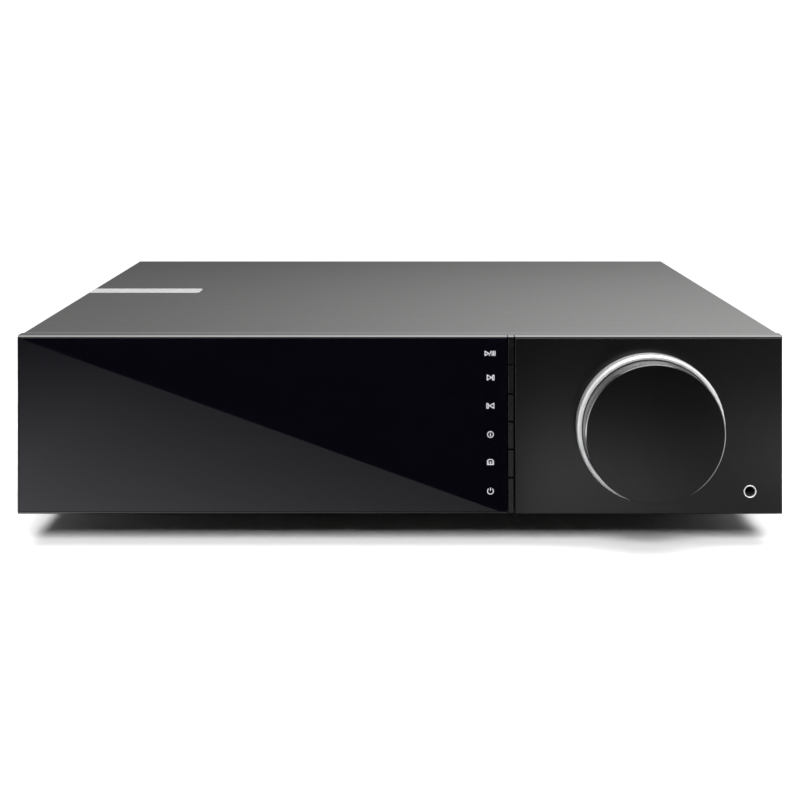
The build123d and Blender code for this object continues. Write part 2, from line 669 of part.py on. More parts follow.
def ring_hub():
    """Disc with six holes that joins the ring to the encoder's outer shaft."""
    profile = [
        (3.52, -0.4), (8.0, -0.4), (8.0, -1.6), (HUB_R, -1.6),
        (HUB_R, -3.4), (8.0, -3.4), (8.0, -5.0), (3.52, -5.0),
    ]
    with BuildPart() as hub:
        with BuildSketch(radial(KNOB_X, KNOB_Z, FASCIA_Y)):
            with BuildLine():
                Polyline(*profile, close=True)
            make_face()
        revolve(axis=depth_axis(KNOB_X, KNOB_Z))
        with BuildSketch(front(FASCIA_Y - 0.4)):
            with Locations((KNOB_X, KNOB_Z)):
                with PolarLocations(18.5, 6):
                    Circle(5.5)
        cut(6)
    return hub.part


def encoder_body():
    """Dual concentric encoder's housing, with its bush and pins."""
    axis_place = [(KNOB_X, KNOB_Z)]
    with BuildPart() as encoder:
        with BuildSketch(front(FRAME_BACK_Y)):
            with Locations(*axis_place):
                RectangleRounded(22, 22, 1.5)
        extrude(amount=-ENCODER_D)
        with BuildSketch(front(FRAME_BACK_Y)):
            circles(axis_place, BUSH_R)
        extrude(amount=FRAME_D - 2.4)
        # bores for the outer and inner shafts
        with BuildSketch(front(FASCIA_Y + 2.0)):
            circles(axis_place, 3.58)
        cut(-14.2)
        with BuildSketch(front(FASCIA_Y + 16.0)):
            circles(axis_place, INNER_BORE_R)
        cut(-3.4)
        with BuildSketch(front(FRAME_BACK_Y + ENCODER_D)):
            row(*ENCODER_PINS, *PIN_SIZE)
        extrude(amount=-3.0)
    return encoder.part


def encoder_outer_shaft():
    with BuildPart() as shaft:
        with BuildSketch(front(FASCIA_Y - 5.0)):
            with Locations((KNOB_X, KNOB_Z)):
                Circle(OUTER_SHAFT_R)
                Circle(INNER_BORE_R, mode=Mode.SUBTRACT)
        extrude(amount=-21.0)
    return shaft.part


def encoder_inner_shaft():
    start_y, end_y = KNOB_Y + 4.0, FASCIA_Y + 19.0
    with BuildPart() as shaft:
        with BuildSketch(front(start_y)):
            circles([(KNOB_X, KNOB_Z)], INNER_SHAFT_R)
        extrude(amount=-(end_y - start_y))
    return shaft.part


def encoder_nut():
    with BuildPart() as nut:
        with BuildSketch(front(PLATE_Y)):
            with Locations((KNOB_X, KNOB_Z)):
                RegularPolygon(7.0, 6, major_radius=False)
                Circle(NUT_BORE_R, mode=Mode.SUBTRACT)
        extrude(amount=2.0)
    return nut.part


# ================================================================== headphone socket
JACK_BORE_R, JACK_NOSE_R = 1.85, 2.15
JACK_D = 12
COLLAR_L = 0.9  # jack collar standing in the frame
IO_BOARD_Y = FRAME_BACK_Y + 12.1

# bright ring, as (radius, distance behind the fascia)
HEADPHONE_RING_PROFILE = [
    (2.35, -0.4), (2.52, -0.4), (2.62, -0.3), (2.62, 7.0), (2.2, 7.0), (2.2, -0.25),
]


def headphone_ring():
    return turned(HEADPHONE_RING_PROFILE, [(JACK_X, JACK_Z)], FASCIA_Y)


def headphone_jack():
    """Socket body with a collar, and a black nose inside the bright ring."""
    nose_front = FASCIA_Y + 0.2
    with BuildPart() as jack:
        with BuildSketch(front(FRAME_BACK_Y)):
            rect(JACK_X, JACK_Z, 8.8, 10.0)
        extrude(amount=-JACK_D)
        with BuildSketch(front(FRAME_BACK_Y)):
            circles([(JACK_X, JACK_Z)], 3.4)
        extrude(amount=COLLAR_L)
        with BuildSketch(front(FRAME_BACK_Y - COLLAR_L)):
            circles([(JACK_X, JACK_Z)], JACK_NOSE_R)
        extrude(amount=FRAME_BACK_Y - COLLAR_L - nose_front)
        with BuildSketch(front(FRAME_BACK_Y + JACK_D)):
            row(*JACK_PINS, *PIN_SIZE)
        extrude(amount=-3.0)
        with BuildSketch(front(nose_front)):
            circles([(JACK_X, JACK_Z)], JACK_BORE_R)
        cut(-19.4)
    return jack.part


def front_io_board():
    """Upright board carried by the encoder and the headphone socket."""
    with BuildPart() as board:
        with BuildSketch(front(IO_BOARD_Y)):
            rect(118, 43, 64, 50)
            row(*ENCODER_PINS, *PIN_HOLE, mode=Mode.SUBTRACT)
            row(*JACK_PINS, *PIN_HOLE, mode=Mode.SUBTRACT)
        extrude(amount=-BOARD_T)
        # components on the rear face
        with BuildSketch(front(IO_BOARD_Y + BOARD_T)):
            rect(96, 22.5, 12, 5)
            rect(130, 40, 5, 5)
            rect(130, 52, 5, 5)
        extrude(amount=-2.0)
    return board.part


# ================================================================== electronics
# main board, as (x, y): stepped back behind the phono sockets
MAIN_OUTLINE = [
    (-8, -30), (146, -30), (146, 130), (139, 130),
    (139, 152.5), (40, 152.5), (40, 144), (-8, 144),
]
# chips on the main board: x, y, width, depth
CHIPS = [
    (30, 90, 7, 7), (30, 60, 7, 7), (62, 86, 7, 7),
    (20, 20, 14, 14), (44, 20, 14, 14),
    (10, 110, 5, 4), (24, 112, 5, 4), (38, 110, 5, 4), (52, 112, 5, 4),
    (112, 92, 12, 12),
]
MODULE_BOARD_T = 1.2
TRANSFORMER = (-104, -20)
LARGE_CAPS = [(-124, -92), (-124, -62), (-92, -78)]
SMALL_CAPS = [(-90, 14), (-90, 34), (-110, 12)]
HEATSINK_X, HEATSINK_BASE_T, FIN_H = -58, 5, 18
RIBBON_W = 20


def board_standoffs():
    """Hexagonal standoffs with a spigot through the floor and a tapped top."""
    with BuildPart() as standoffs:
        with BuildSketch(Plane.XY.offset(FLOOR_TOP)):
            with Locations(*BOARD_HOLES):
                RegularPolygon(2.75, 6, major_radius=False)
        extrude(amount=BOARD_Z - FLOOR_TOP)
        with BuildSketch(Plane.XY.offset(BASE_Z)):
            circles(BOARD_HOLES, TAP_R - 0.03)
        extrude(amount=SHEET)
        with BuildSketch(Plane.XY.offset(BOARD_Z)):
            circles(BOARD_HOLES, TAP_R)
        cut(-6)
    return standoffs.part


def main_board():
    """Main board: streamer, converter, preamplifier; with the ribbon connector."""
    with BuildPart() as board:
        with BuildSketch(Plane.XY.offset(BOARD_Z)):
            with BuildLine():
                Polyline(*MAIN_OUTLINE, close=True)
            make_face()
            circles(MAIN_HOLES, CLEAR_R, mode=Mode.SUBTRACT)
        extrude(amount=BOARD_T)
        with BuildSketch(Plane.XY.offset(BOARD_TOP)):
            rect(RIBBON_X, -22, *RIBBON_CONNECTOR)
        extrude(amount=5)
    return board.part


def board_chips():
    with BuildPart() as chips:
        with BuildSketch(Plane.XY.offset(BOARD_TOP)):
            for chip in CHIPS:
                rect(*chip)
        extrude(amount=1.4)
    return chips.part


def streaming_module():
    """Small board with a shield can and two round connectors."""
    with BuildPart() as module:
        with BuildSketch(Plane.XY.offset(BOARD_TOP)):
            rect(105, 25, 52, 62)
        extrude(amount=MODULE_BOARD_T)
        with BuildSketch(Plane.XY.offset(BOARD_TOP + MODULE_BOARD_T)):
            rect(105, 28, 46, 48)
        extrude(amount=4.0)
        fillet(module.edges().filter_by(Axis.Z).group_by(Axis.Z)[-1], 1.0)
        with BuildSketch(Plane.XY.offset(BOARD_TOP + MODULE_BOARD_T)):
            circles([(92, -3), (118, -3)], 1.6)
        extrude(amount=1.6)
    return module.part


def power_board():
    with BuildPart() as board:
        with BuildSketch(Plane.XY.offset(BOARD_Z)):
            rect(-106, -40, 72, 180)
            circles(POWER_HOLES, CLEAR_R, mode=Mode.SUBTRACT)
        extrude(amount=BOARD_T)
        # two blocks on the board
        with BuildSketch(Plane.XY.offset(BOARD_TOP)):
            with Locations((-126, 30), (-84, -112)):
                Rectangle(12, 20)
        extrude(amount=11)
    return board.part


def power_transformer():
    """Switching transformer: a ferrite core round a wound bobbin."""
    with BuildPart() as transformer:
        with BuildSketch(Plane.XY.offset(BOARD_TOP)):
            with Locations(TRANSFORMER):
                Rectangle(40, 42)
                Rectangle(26, 26, mode=Mode.SUBTRACT)
        extrude(amount=32)
        with BuildSketch(Plane.XY.offset(BOARD_TOP + 3)):
            with Locations(TRANSFORMER):
                RectangleRounded(25.6, 25.6, 4.0)
        extrude(amount=26)
    return transformer.part


def power_capacitors():
    with BuildPart() as capacitors:
        with BuildSketch(Plane.XY.offset(BOARD_TOP)):
            circles(LARGE_CAPS, 12.5)
            circles(SMALL_CAPS, 8.0)
        extrude(amount=30)
        fillet(capacitors.faces().filter_by(Axis.Z).group_by(Axis.Z)[-1].edges(), 1.0)
    return capacitors.part


def amplifier_board():
    with BuildPart() as board:
        with BuildSketch(Plane.XY.offset(BOARD_Z)):
            rect(-58, 95, 84, 70)
            circles(AMP_HOLES, CLEAR_R, mode=Mode.SUBTRACT)
        extrude(amount=BOARD_T)
        # two rounded blocks on the board
        with BuildSketch(Plane.XY.offset(BOARD_TOP)):
            with Locations((-84, 82), (-32, 82)):
                RectangleRounded(16, 16, 3)
        extrude(amount=13)
    return board.part


def amplifier_heatsink():
    """Base plate with eleven upright fins running front to back."""
    with BuildPart() as heatsink:
        with BuildSketch(front(92)):
            rect(HEATSINK_X, BOARD_TOP + HEATSINK_BASE_T / 2, 58, HEATSINK_BASE_T)
            row(HEATSINK_X, BOARD_TOP + HEATSINK_BASE_T + FIN_H / 2, 5.6, 11, 1.8, FIN_H)
        extrude(amount=-24)
    return heatsink.part


def ribbon_cable():
    """Flat cable from the display board along the floor to the main board."""
    start_y, start_z = DISPLAY_CONNECTOR_Y + DISPLAY_CONNECTOR_H, 36.0
    outline = [  # (y, z)
        (start_y, start_z), (start_y, 19.0), (-46.4, 19.0), (-34.6, 31.1), (-20.0, 31.1),
        (-20.0, 31.5), (-34.8, 31.5), (-46.6, 19.4), (start_y + 0.4, 19.4),
        (start_y + 0.4, start_z),
    ]
    with BuildPart() as cable:
        with BuildSketch(Plane.YZ.offset(RIBBON_X - RIBBON_W / 2)):
            with BuildLine():
                Polyline(*outline, close=True)
            make_face()
        extrude(amount=RIBBON_W)
    return cable.part


# ================================================================== rear sockets
INLET_FLANGE_T, INLET_D = 2.0, 22.0
SWITCH_BEZEL_T, SWITCH_D = 1.5, 18.0
PIVOT_Y = REAR_Y - 2.0
ROCKER_TILT = math.radians(9.0)
ROCKER_W, PIVOT_W, PIVOT_BORE_W = 16.6, 19.2, 19.8
CAP_NAMES = ["left_positive", "left_negative", "right_positive", "right_negative"]
OPTICAL_Y, SOCKET_Y = REAR_Y + 0.6, REAR_Y + 0.8  # mouths of the board sockets
OPTICAL_MOUTH_D, USB_MOUTH_D, HDMI_MOUTH_D, LAN_MOUTH_D = 8.0, 11.0, 9.0, 13.0

# Turned profiles, as (radius, distance behind the rear panel).
BASE_PROFILE = [
    (3.05, -8.0), (5.0, -8.0), (5.0, 0), (8.6, 0), (8.6, 2.4), (8.0, 3.0), (3.05, 3.0),
]
PLUG_R = 2.05  # bore for 4 mm plugs
POST_PROFILE = [
    (0, -16.0), (3.0, -16.0), (3.0, 19.2), (2.7, 19.5), (PLUG_R, 19.5), (PLUG_R, 1.5), (0, 1.5),
]
CAP_PROFILE = [
    (3.08, 3.2), (6.6, 3.2), (7.6, 4.4), (7.6, 18.6),
    (6.4, TERMINAL_OUT), (3.08, TERMINAL_OUT),
]
# flange, neck and centre contact bore
RCA_PROFILE = [
    (0, -7.5), (5.0, -7.5), (5.0, 0), (6.2, 0), (6.2, 1.2), (4.15, 1.2), (4.15, 9.0),
    (3.95, 9.2), (3.3, 9.2), (3.3, 8.2), (1.6, 8.2), (1.6, -4.0), (0, -4.0),
]
ANTENNA_PROFILE = [
    (0, -9.0), (3.1, -9.0), (3.1, 9.6), (2.8, 10.0), (2.3, 10.0),
    (2.3, 6.0), (0.5, 6.0), (0.5, -6.0), (0, -6.0),
]


def mains_inlet():
    """Appliance inlet: snap-in shell with three blades."""
    x, z, width, height = INLET
    blades = [(x - 7, z - 2), (x + 7, z - 2), (x, z + 2)]
    mouth = [
        (x - 12.2, z - 8.2), (x + 12.2, z - 8.2), (x + 12.2, z + 3.6),
        (x + 7.6, z + 8.2), (x - 7.6, z + 8.2), (x - 12.2, z + 3.6),
    ]
    with BuildPart() as inlet:
        with BuildSketch(front(REAR_Y)):
            with Locations((x, z)):
                RectangleRounded(31.0, 24.0, 1.5)
        extrude(amount=-INLET_FLANGE_T)
        with BuildSketch(front(REAR_Y)):
            rect(x, z, width, height)
        extrude(amount=INLET_D)
        with BuildSketch(front(REAR_Y + INLET_FLANGE_T)):
            with BuildLine():
                Polyline(*mouth, close=True)
            make_face()
        cut(18.0)
        with BuildSketch(front(REAR_Y - 2.0)):
            with Locations(*blades):
                Rectangle(2.0, 4.0)
        extrude(amount=14.5)
        # solder tabs
        with BuildSketch(front(REAR_Y - INLET_D)):
            with Locations(*blades):
                Rectangle(4.8, 0.8)
        extrude(amount=7.0)
    return inlet.part


def power_switch():
    """Switch housing: bezel, open box with a pivot bore, and two tabs."""
    x, z, width, height = SWITCH
    with BuildPart() as housing:
        with BuildSketch(front(REAR_Y)):
            with Locations((x, z)):
                RectangleRounded(24.0, 18.0, 1.2)
        extrude(amount=-SWITCH_BEZEL_T)
        with BuildSketch(front(REAR_Y)):
            rect(x, z, width, height)
        extrude(amount=SWITCH_D)
        with BuildSketch(front(REAR_Y + SWITCH_BEZEL_T)):
            rect(x, z, 17.2, 12.4)
        cut(12.0)
        with BuildSketch(side(x - PIVOT_BORE_W / 2)):
            circles([(PIVOT_Y, z)], 1.08)
        cut(PIVOT_BORE_W)
        with BuildSketch(front(REAR_Y - SWITCH_D)):
            with Locations((x - 6, z), (x + 6, z)):
                Rectangle(0.8, 4.8)
        extrude(amount=7.0)
    return housing.part


def rocker_plane(width):
    """A plane facing +X, tilted about the rocker's pivot, at the left end of the width."""
    return Plane(
        origin=(SWITCH[0] - width / 2, PIVOT_Y, SWITCH[1]),
        x_dir=(0, math.cos(ROCKER_TILT), -math.sin(ROCKER_TILT)),
        z_dir=(1, 0, 0),
    )


def power_rocker():
    """Rocker, tilted to the off side; it turns twice its tilt to the on side."""
    with BuildPart() as rocker:
        with BuildSketch(rocker_plane(ROCKER_W)):
            Circle(5.2)
            with BuildLine():
                Polyline((0, -5.2), (4.2, -5.2), (3.0, 0), (4.2, 5.2), (0, 5.2), close=True)
            make_face()
            # clear the round side behind the V-shaped face
            with BuildLine():
                Polyline((4.6, -4.6), (8.0, -4.6), (8.0, 4.6), (4.6, 4.6), (3.0, 0), close=True)
            make_face(mode=Mode.SUBTRACT)
        extrude(amount=ROCKER_W)
        with BuildSketch(rocker_plane(PIVOT_W)):
            Circle(1.0)
        extrude(amount=PIVOT_W)
    return rocker.part


def speaker_bases():
    """Insulating bases of the speaker terminals."""
    return turned(BASE_PROFILE, POSTS, REAR_Y)


def speaker_posts():
    """Metal posts bored for 4 mm plugs, each with a hexagonal nut inside the case."""
    with BuildPart() as posts:
        for x, z in POSTS:
            with BuildSketch(radial(x, z, REAR_Y)):
                with BuildLine():
                    Polyline(*POST_PROFILE, close=True)
                make_face()
            revolve(axis=depth_axis(x, z))
            with BuildSketch(front(REAR_Y - 8.0)):
                with Locations((x, z)):
                    RegularPolygon(5.0, 6, major_radius=False)
                    Circle(2.9, mode=Mode.SUBTRACT)
            extrude(amount=2.5)
    return posts.part


def post_cap(x, z):
    """Screw cap with sixteen grip grooves."""
    with BuildPart() as cap:
        with BuildSketch(radial(x, z, REAR_Y)):
            with BuildLine():
                Polyline(*CAP_PROFILE, close=True)
            make_face()
        revolve(axis=depth_axis(x, z))
        with BuildSketch(front(REAR_Y + 6.5)):
            with Locations((x, z)):
                with PolarLocations(8.2, 16):
                    Circle(1.0)
        cut(-20)
    return cap.part


def rca_sockets():
    """Gold phono sockets."""
    return turned(RCA_PROFILE, RCA, REAR_Y)


def antenna_sockets():
    """Round antenna sockets, each with a hexagonal nut on the rear panel."""
    with BuildPart() as sockets:
        for x, z in ANTENNAS:
            with BuildSketch(radial(x, z, REAR_Y)):
                with BuildLine():
                    Polyline(*ANTENNA_PROFILE, close=True)
                make_face()
            revolve(axis=depth_axis(x, z))
            with BuildSketch(front(REAR_Y)):
                with Locations((x, z)):
                    RegularPolygon(4.0, 6, major_radius=False)
                    Circle(3.0, mode=Mode.SUBTRACT)
            extrude(amount=-1.8)
    return sockets.part


def optical_sockets():
    """Optical sockets: square body with a rounded square mouth and a central pin."""
    with BuildPart() as sockets:
        for x, z, width, height in OPTICALS:
            with BuildSketch(front(OPTICAL_Y)):
                rect(x, z, width, height)
            extrude(amount=14.0)
            with BuildSketch(front(OPTICAL_Y)):
                with Locations((x, z)):
                    RectangleRounded(6.2, 6.2, 1.2)
            cut(OPTICAL_MOUTH_D)
            with BuildSketch(front(OPTICAL_Y - OPTICAL_MOUTH_D)):
                circles([(x, z)], 1.5)
            extrude(amount=-4.5)
    return sockets.part


def usb_sockets():
    """USB: a square computer input and a flat media input, each with a tongue."""
    with BuildPart() as sockets:
        with BuildSketch(front(SOCKET_Y)):
            for (x, z, width, height), corner in ((USB_B, 1.2), (USB_A, 0.5)):
                with Locations((x, z)):
                    RectangleRounded(width, height, corner)
        extrude(amount=16.0)
        with BuildSketch(front(SOCKET_Y)):
            rect(USB_B[0], USB_B[1], 8.6, 7.9)
            rect(USB_A[0], USB_A[1], 12.4, 5.2)
        cut(USB_MOUTH_D)
        with BuildSketch(front(SOCKET_Y - USB_MOUTH_D)):
            rect(USB_B[0], USB_B[1], 5.6, 3.0)
            rect(USB_A[0], BOARD_TOP + 4.9, 11.0, 1.8)
        extrude(amount=-9.6)
    return sockets.part


def hdmi_outline(half_width, half_foot, bottom, shoulder, top):
    """Outline with bevelled lower corners; heights are above the board."""
    x = HDMI[0]
    return [
        (x - half_width, BOARD_TOP + shoulder), (x - half_foot, BOARD_TOP + bottom),
        (x + half_foot, BOARD_TOP + bottom), (x + half_width, BOARD_TOP + shoulder),
        (x + half_width, BOARD_TOP + top), (x - half_width, BOARD_TOP + top),
    ]


def hdmi_socket():
    shell = hdmi_outline(HDMI[2] / 2, 5.6, bottom=0, shoulder=2.2, top=HDMI[3])
    mouth = hdmi_outline(7.0, 5.3, bottom=0.5, shoulder=2.4, top=5.7)
    with BuildPart() as socket:
        with BuildSketch(front(SOCKET_Y)):
            with BuildLine():
                Polyline(*shell, close=True)
            make_face()
        extrude(amount=12.0)
        with BuildSketch(front(SOCKET_Y)):
            with BuildLine():
                Polyline(*mouth, close=True)
            make_face()
        cut(HDMI_MOUTH_D)
        # tongue
        with BuildSketch(front(SOCKET_Y - HDMI_MOUTH_D)):
            rect(HDMI[0], BOARD_TOP + 3.5, 11.0, 1.4)
        extrude(amount=-8.0)
    return socket.part


def ethernet_socket():
    """Box with a stepped mouth and eight contacts."""
    x, z, width, height = LAN
    with BuildPart() as socket:
        with BuildSketch(front(SOCKET_Y)):
            rect(x, z, width, height)
        extrude(amount=20.0)
        with BuildSketch(front(SOCKET_Y)):
            rect(x, BOARD_TOP + 7.6, 11.9, 8.0)
            rect(x, BOARD_TOP + 2.6, 6.2, 2.2)
            rect(x, BOARD_TOP + 1.2, 4.0, 0.9)
        cut(LAN_MOUTH_D)
        with BuildSketch(front(SOCKET_Y - LAN_MOUTH_D)):
            row(x, BOARD_TOP + 11.2, 1.02, 8, 0.4, 0.5)
        extrude(amount=-8.0)
    return socket.part


# ================================================================== build and save
# Each of these functions bears the name of its piece.
PIECES = [
    base_chassis, top_cover, badge_strip, rear_panel, side_magnets, feet, foot_pads,
    machine_screws,
    front_frame, front_glass, display_module, display_board, icon_light_guide, knob_panel,
    key_board, key_switches,
    volume_knob, knob_face, source_ring, ring_hub,
    encoder_body, encoder_outer_shaft, encoder_inner_shaft, encoder_nut,
    headphone_ring, headphone_jack, front_io_board,
    board_standoffs, main_board, board_chips, streaming_module,
    power_board, power_transformer, power_capacitors,
    amplifier_board, amplifier_heatsink, ribbon_cable,
    mains_inlet, power_switch, power_rocker, speaker_bases, speaker_posts,
    rca_sockets, antenna_sockets, optical_sockets, usb_sockets, hdmi_socket, ethernet_socket,
]
for make_piece in PIECES:
    save(make_piece.__name__, make_piece())

save("side_panel_left", side_panel(-1))
save("side_panel_right", side_panel(1))

for name, low, high, stem_z in zip(KEY_NAMES, KEY_CUTS[:-1], KEY_CUTS[1:], STEM_Z):
    save(f"key_{name}", key(low + KEY_GAP / 2, high - KEY_GAP / 2, stem_z))

for name, (x, z) in zip(CAP_NAMES, POSTS):
    save(f"post_cap_{name}", post_cap(x, z))
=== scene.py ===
import json
import math

import bpy
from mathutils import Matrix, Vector


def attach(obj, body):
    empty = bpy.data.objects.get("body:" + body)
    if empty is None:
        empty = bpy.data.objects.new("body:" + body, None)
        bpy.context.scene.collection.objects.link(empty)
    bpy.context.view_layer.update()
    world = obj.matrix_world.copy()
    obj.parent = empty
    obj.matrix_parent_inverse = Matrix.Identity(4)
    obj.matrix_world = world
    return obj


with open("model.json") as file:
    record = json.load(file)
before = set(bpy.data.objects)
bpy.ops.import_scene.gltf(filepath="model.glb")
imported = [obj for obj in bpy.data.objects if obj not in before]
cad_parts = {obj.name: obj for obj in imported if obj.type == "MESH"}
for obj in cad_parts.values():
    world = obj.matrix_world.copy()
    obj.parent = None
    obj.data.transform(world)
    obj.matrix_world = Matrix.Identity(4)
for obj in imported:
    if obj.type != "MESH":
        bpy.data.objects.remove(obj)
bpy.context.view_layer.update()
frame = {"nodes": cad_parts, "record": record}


N = frame["nodes"]
MM = 0.001
YF = -0.158  # front plane of the fascia
YR = 0.156  # outside of the rear panel
KX, KZ = 0.1032, 0.0515


# ---------------------------------------------------------------- node helpers
class Tree:
    def __init__(self, name):
        self.mat = bpy.data.materials.new(name)
        self.mat.use_nodes = True
        self.nt = self.mat.node_tree
        self.nt.nodes.clear()
        self.out = self.n("ShaderNodeOutputMaterial")
        self.coord = self.n("ShaderNodeTexCoord")

    def n(self, kind, **kw):
        node = self.nt.nodes.new(kind)
        for k, v in kw.items():
            setattr(node, k, v)
        return node

    def link(self, a, b):
        self.nt.links.new(a, b)

    def val(self, socket, v):
        if hasattr(v, "is_output"):
            self.link(v, socket)
        else:
            socket.default_value = v

    def mapped(self, scale=(1, 1, 1), rot=(0, 0, 0), loc=(0, 0, 0)):
        m = self.n("ShaderNodeMapping")
        m.inputs["Scale"].default_value = scale
        m.inputs["Rotation"].default_value = rot
        m.inputs["Location"].default_value = loc
        self.link(self.coord.outputs["Object"], m.inputs["Vector"])
        return m.outputs["Vector"]

    def noise(self, vec, scale, detail=2.0, rough=0.5, dist=0.0):
        t = self.n("ShaderNodeTexNoise")
        self.link(vec, t.inputs["Vector"])
        t.inputs["Scale"].default_value = scale
        t.inputs["Detail"].default_value = detail
        t.inputs["Roughness"].default_value = rough
        t.inputs["Distortion"].default_value = dist
        return t.outputs["Fac"]

    def ramp(self, fac, stops):
        r = self.n("ShaderNodeValToRGB")
        e = r.color_ramp.elements
        while len(e) > 1:
            e.remove(e[-1])
        for i, (p, c) in enumerate(stops):
            el = e[0] if i == 0 else e.new(p)
            el.position = p
            el.color = c if len(c) == 4 else (*c, 1.0)
        self.link(fac, r.inputs["Fac"])
        return r.outputs["Color"]

    def rng(self, fac, lo, hi, flo=0.0, fhi=1.0):
        m = self.n("ShaderNodeMapRange")
        self.val(m.inputs["Value"], fac)
        m.inputs["From Min"].default_value = flo
        m.inputs["From Max"].default_value = fhi
        m.inputs["To Min"].default_value = lo
        m.inputs["To Max"].default_value = hi
        return m.outputs["Result"]

    def math(self, op, a, b=None, c=None, clamp=False):
        m = self.n("ShaderNodeMath", operation=op)
        m.use_clamp = clamp
        self.val(m.inputs[0], a)
        if b is not None:
            self.val(m.inputs[1], b)
        if c is not None:
            self.val(m.inputs[2], c)
        return m.outputs[0]

    def mix(self, fac, a, b, blend="MIX"):
        m = self.n("ShaderNodeMix", data_type="RGBA", blend_type=blend)
        self.val(m.inputs["Factor"], fac)
        for s, v in ((m.inputs[6], a), (m.inputs[7], b)):
            if hasattr(v, "is_output"):
                self.link(v, s)
            else:
                s.default_value = v if len(v) == 4 else (*v, 1.0)
        return m.outputs[2]

    def bump(self, height, strength, distance, normal=None):
        b = self.n("ShaderNodeBump")
        b.inputs["Strength"].default_value = strength
        b.inputs["Distance"].default_value = distance
        self.link(height, b.inputs["Height"])
        if normal is not None:
            self.link(normal, b.inputs["Normal"])
        return b.outputs["Normal"]

    def sep(self, vec=None):
        s = self.n("ShaderNodeSeparateXYZ")
        self.link(vec if vec is not None else self.coord.outputs["Object"], s.inputs[0])
        return s.outputs

    def principled(self, **kw):
        p = self.n("ShaderNodeBsdfPrincipled")
        for k, v in kw.items():
            s = p.inputs[k]
            if hasattr(v, "is_output"):
                self.link(v, s)
            elif isinstance(v, tuple) and len(v) == 3 and s.type == "RGBA":
                s.default_value = (*v, 1.0)
            else:
                s.default_value = v
        return p

    def finish(self, shader):
        self.link(shader, self.out.inputs["Surface"])
        return self.mat


def shade(c, k):
    return tuple(min(1.0, v * k) for v in c)


def surface(name, base, rough, metal=0.0, grain=2500.0, grain_h=0.012, var=0.12, rvar=0.06,
            spec=0.5, coat=0.0, dust=0.0, aniso=0.0, ior=1.5, blotch=22.0, wave=0.15, chamfer_painted_shade=None):
    """A finish with blotchy colour, roughness change, a fine grain in the bump and a little dust, and if asked a
    painted shade on its chamfers.
    """
    t = Tree(name)
    v = t.mapped()
    big = t.noise(v, blotch, 3.0, 0.55)
    fine = t.noise(v, grain, 2.0, 0.6)
    mid = t.noise(v, 190.0, 3.0, 0.6)
    col = t.mix(t.rng(big, 0.0, 1.0, 0.3, 0.7), shade(base, 1 - var), shade(base, 1 + var))
    col = t.mix(t.rng(fine, 0.0, 0.35, 0.45, 0.75), col, shade(base, 1.25))
    if dust:
        speck = t.rng(t.noise(v, 900.0, 1.0, 0.5), 0.0, dust, 0.72, 0.78)
        col = t.mix(speck, col, (0.35, 0.34, 0.33))
    if chamfer_painted_shade:
        # painted shade on the chamfers: a darker colour wherever the surface leans halfway between up and forward tones
        # down their highlight
        g = t.n("ShaderNodeNewGeometry")
        dot = t.n("ShaderNodeVectorMath", operation="DOT_PRODUCT")
        t.link(g.outputs["True Normal"], dot.inputs[0])
        dot.inputs[1].default_value = (0.0, -0.7071, 0.7071)
        col = t.mix(t.rng(dot.outputs["Value"], 0.0, 1.0, 0.93, 0.97), col, chamfer_painted_shade)
        if not metal:
            spec = t.rng(dot.outputs["Value"], spec, 0.0, 0.93, 0.97)
    r = t.math("ADD", t.rng(mid, rough - rvar, rough + rvar, 0.3, 0.7), t.rng(big, -rvar / 2, rvar / 2, 0.3, 0.7), clamp=True)
    nrm = t.bump(fine, 0.5, grain_h * MM)
    nrm = t.bump(mid, wave, grain_h * MM * 2, nrm)
    p = t.principled(**{"Base Color": col, "Metallic": metal, "Roughness": r, "IOR": ior,
                        "Specular IOR Level": spec, "Coat Weight": coat, "Anisotropic": aniso, "Normal": nrm})
    p.inputs["Coat Roughness"].default_value = 0.08
    return t.finish(p.outputs[0])


def turned(name, base, rough, centre, line=9000.0, depth=0.02, metal=1.0, var=0.08, rim=None):
    """Turned metal: fine concentric lines about an axis along Y through centre; rim is (y, colour) of a bright front
    edge. With a rim, painted shade darkens the top of the knob and the top of the rim.
    """
    t = Tree(name)
    s = t.sep()
    dx = t.math("SUBTRACT", s[0], centre[0])
    dz = t.math("SUBTRACT", s[2], centre[1])
    r = t.math("SQRT", t.math("ADD", t.math("MULTIPLY", dx, dx), t.math("MULTIPLY", dz, dz)))
    cmb = t.n("ShaderNodeCombineXYZ")
    t.link(r, cmb.inputs[0])
    t.link(s[1], cmb.inputs[1])
    lines = t.noise(cmb.outputs[0], line, 2.0, 0.7)
    big = t.noise(t.mapped(), 30.0, 2.0, 0.5)
    col = t.mix(t.rng(lines, 0.0, 1.0, 0.3, 0.7), shade(base, 1 - var), shade(base, 1 + var))
    rr = t.rng(t.math("ADD", t.math("MULTIPLY", lines, 0.5), t.math("MULTIPLY", big, 0.5)), rough - 0.05, rough + 0.07, 0.3, 0.7)
    if rim:
        # painted shade: the top of the knob is darker
        top = t.rng(s[2], 0.0, 1.0, centre[1] + 0.008, centre[1] + 0.026)
        col = t.mix(top, col, shade(base, 0.17))
        edge = t.rng(s[1], 1.0, 0.0, rim[0] - 0.0001, rim[0] + 0.0001)
        # painted shade: the rim is darker towards the top of the knob
        rim_painted_shade = t.mix(t.rng(s[2], 0.0, 1.0, centre[1] + 0.004, centre[1] + 0.020), rim[1], shade(rim[1], 0.12))
        col = t.mix(edge, col, rim_painted_shade)
        rr = t.math("MULTIPLY", rr, t.rng(edge, 1.0, 0.6))
    nrm = t.bump(lines, 0.4, depth * MM)
    p = t.principled(**{"Base Color": col, "Metallic": metal, "Roughness": rr, "Normal": nrm})
    return t.finish(p.outputs[0])


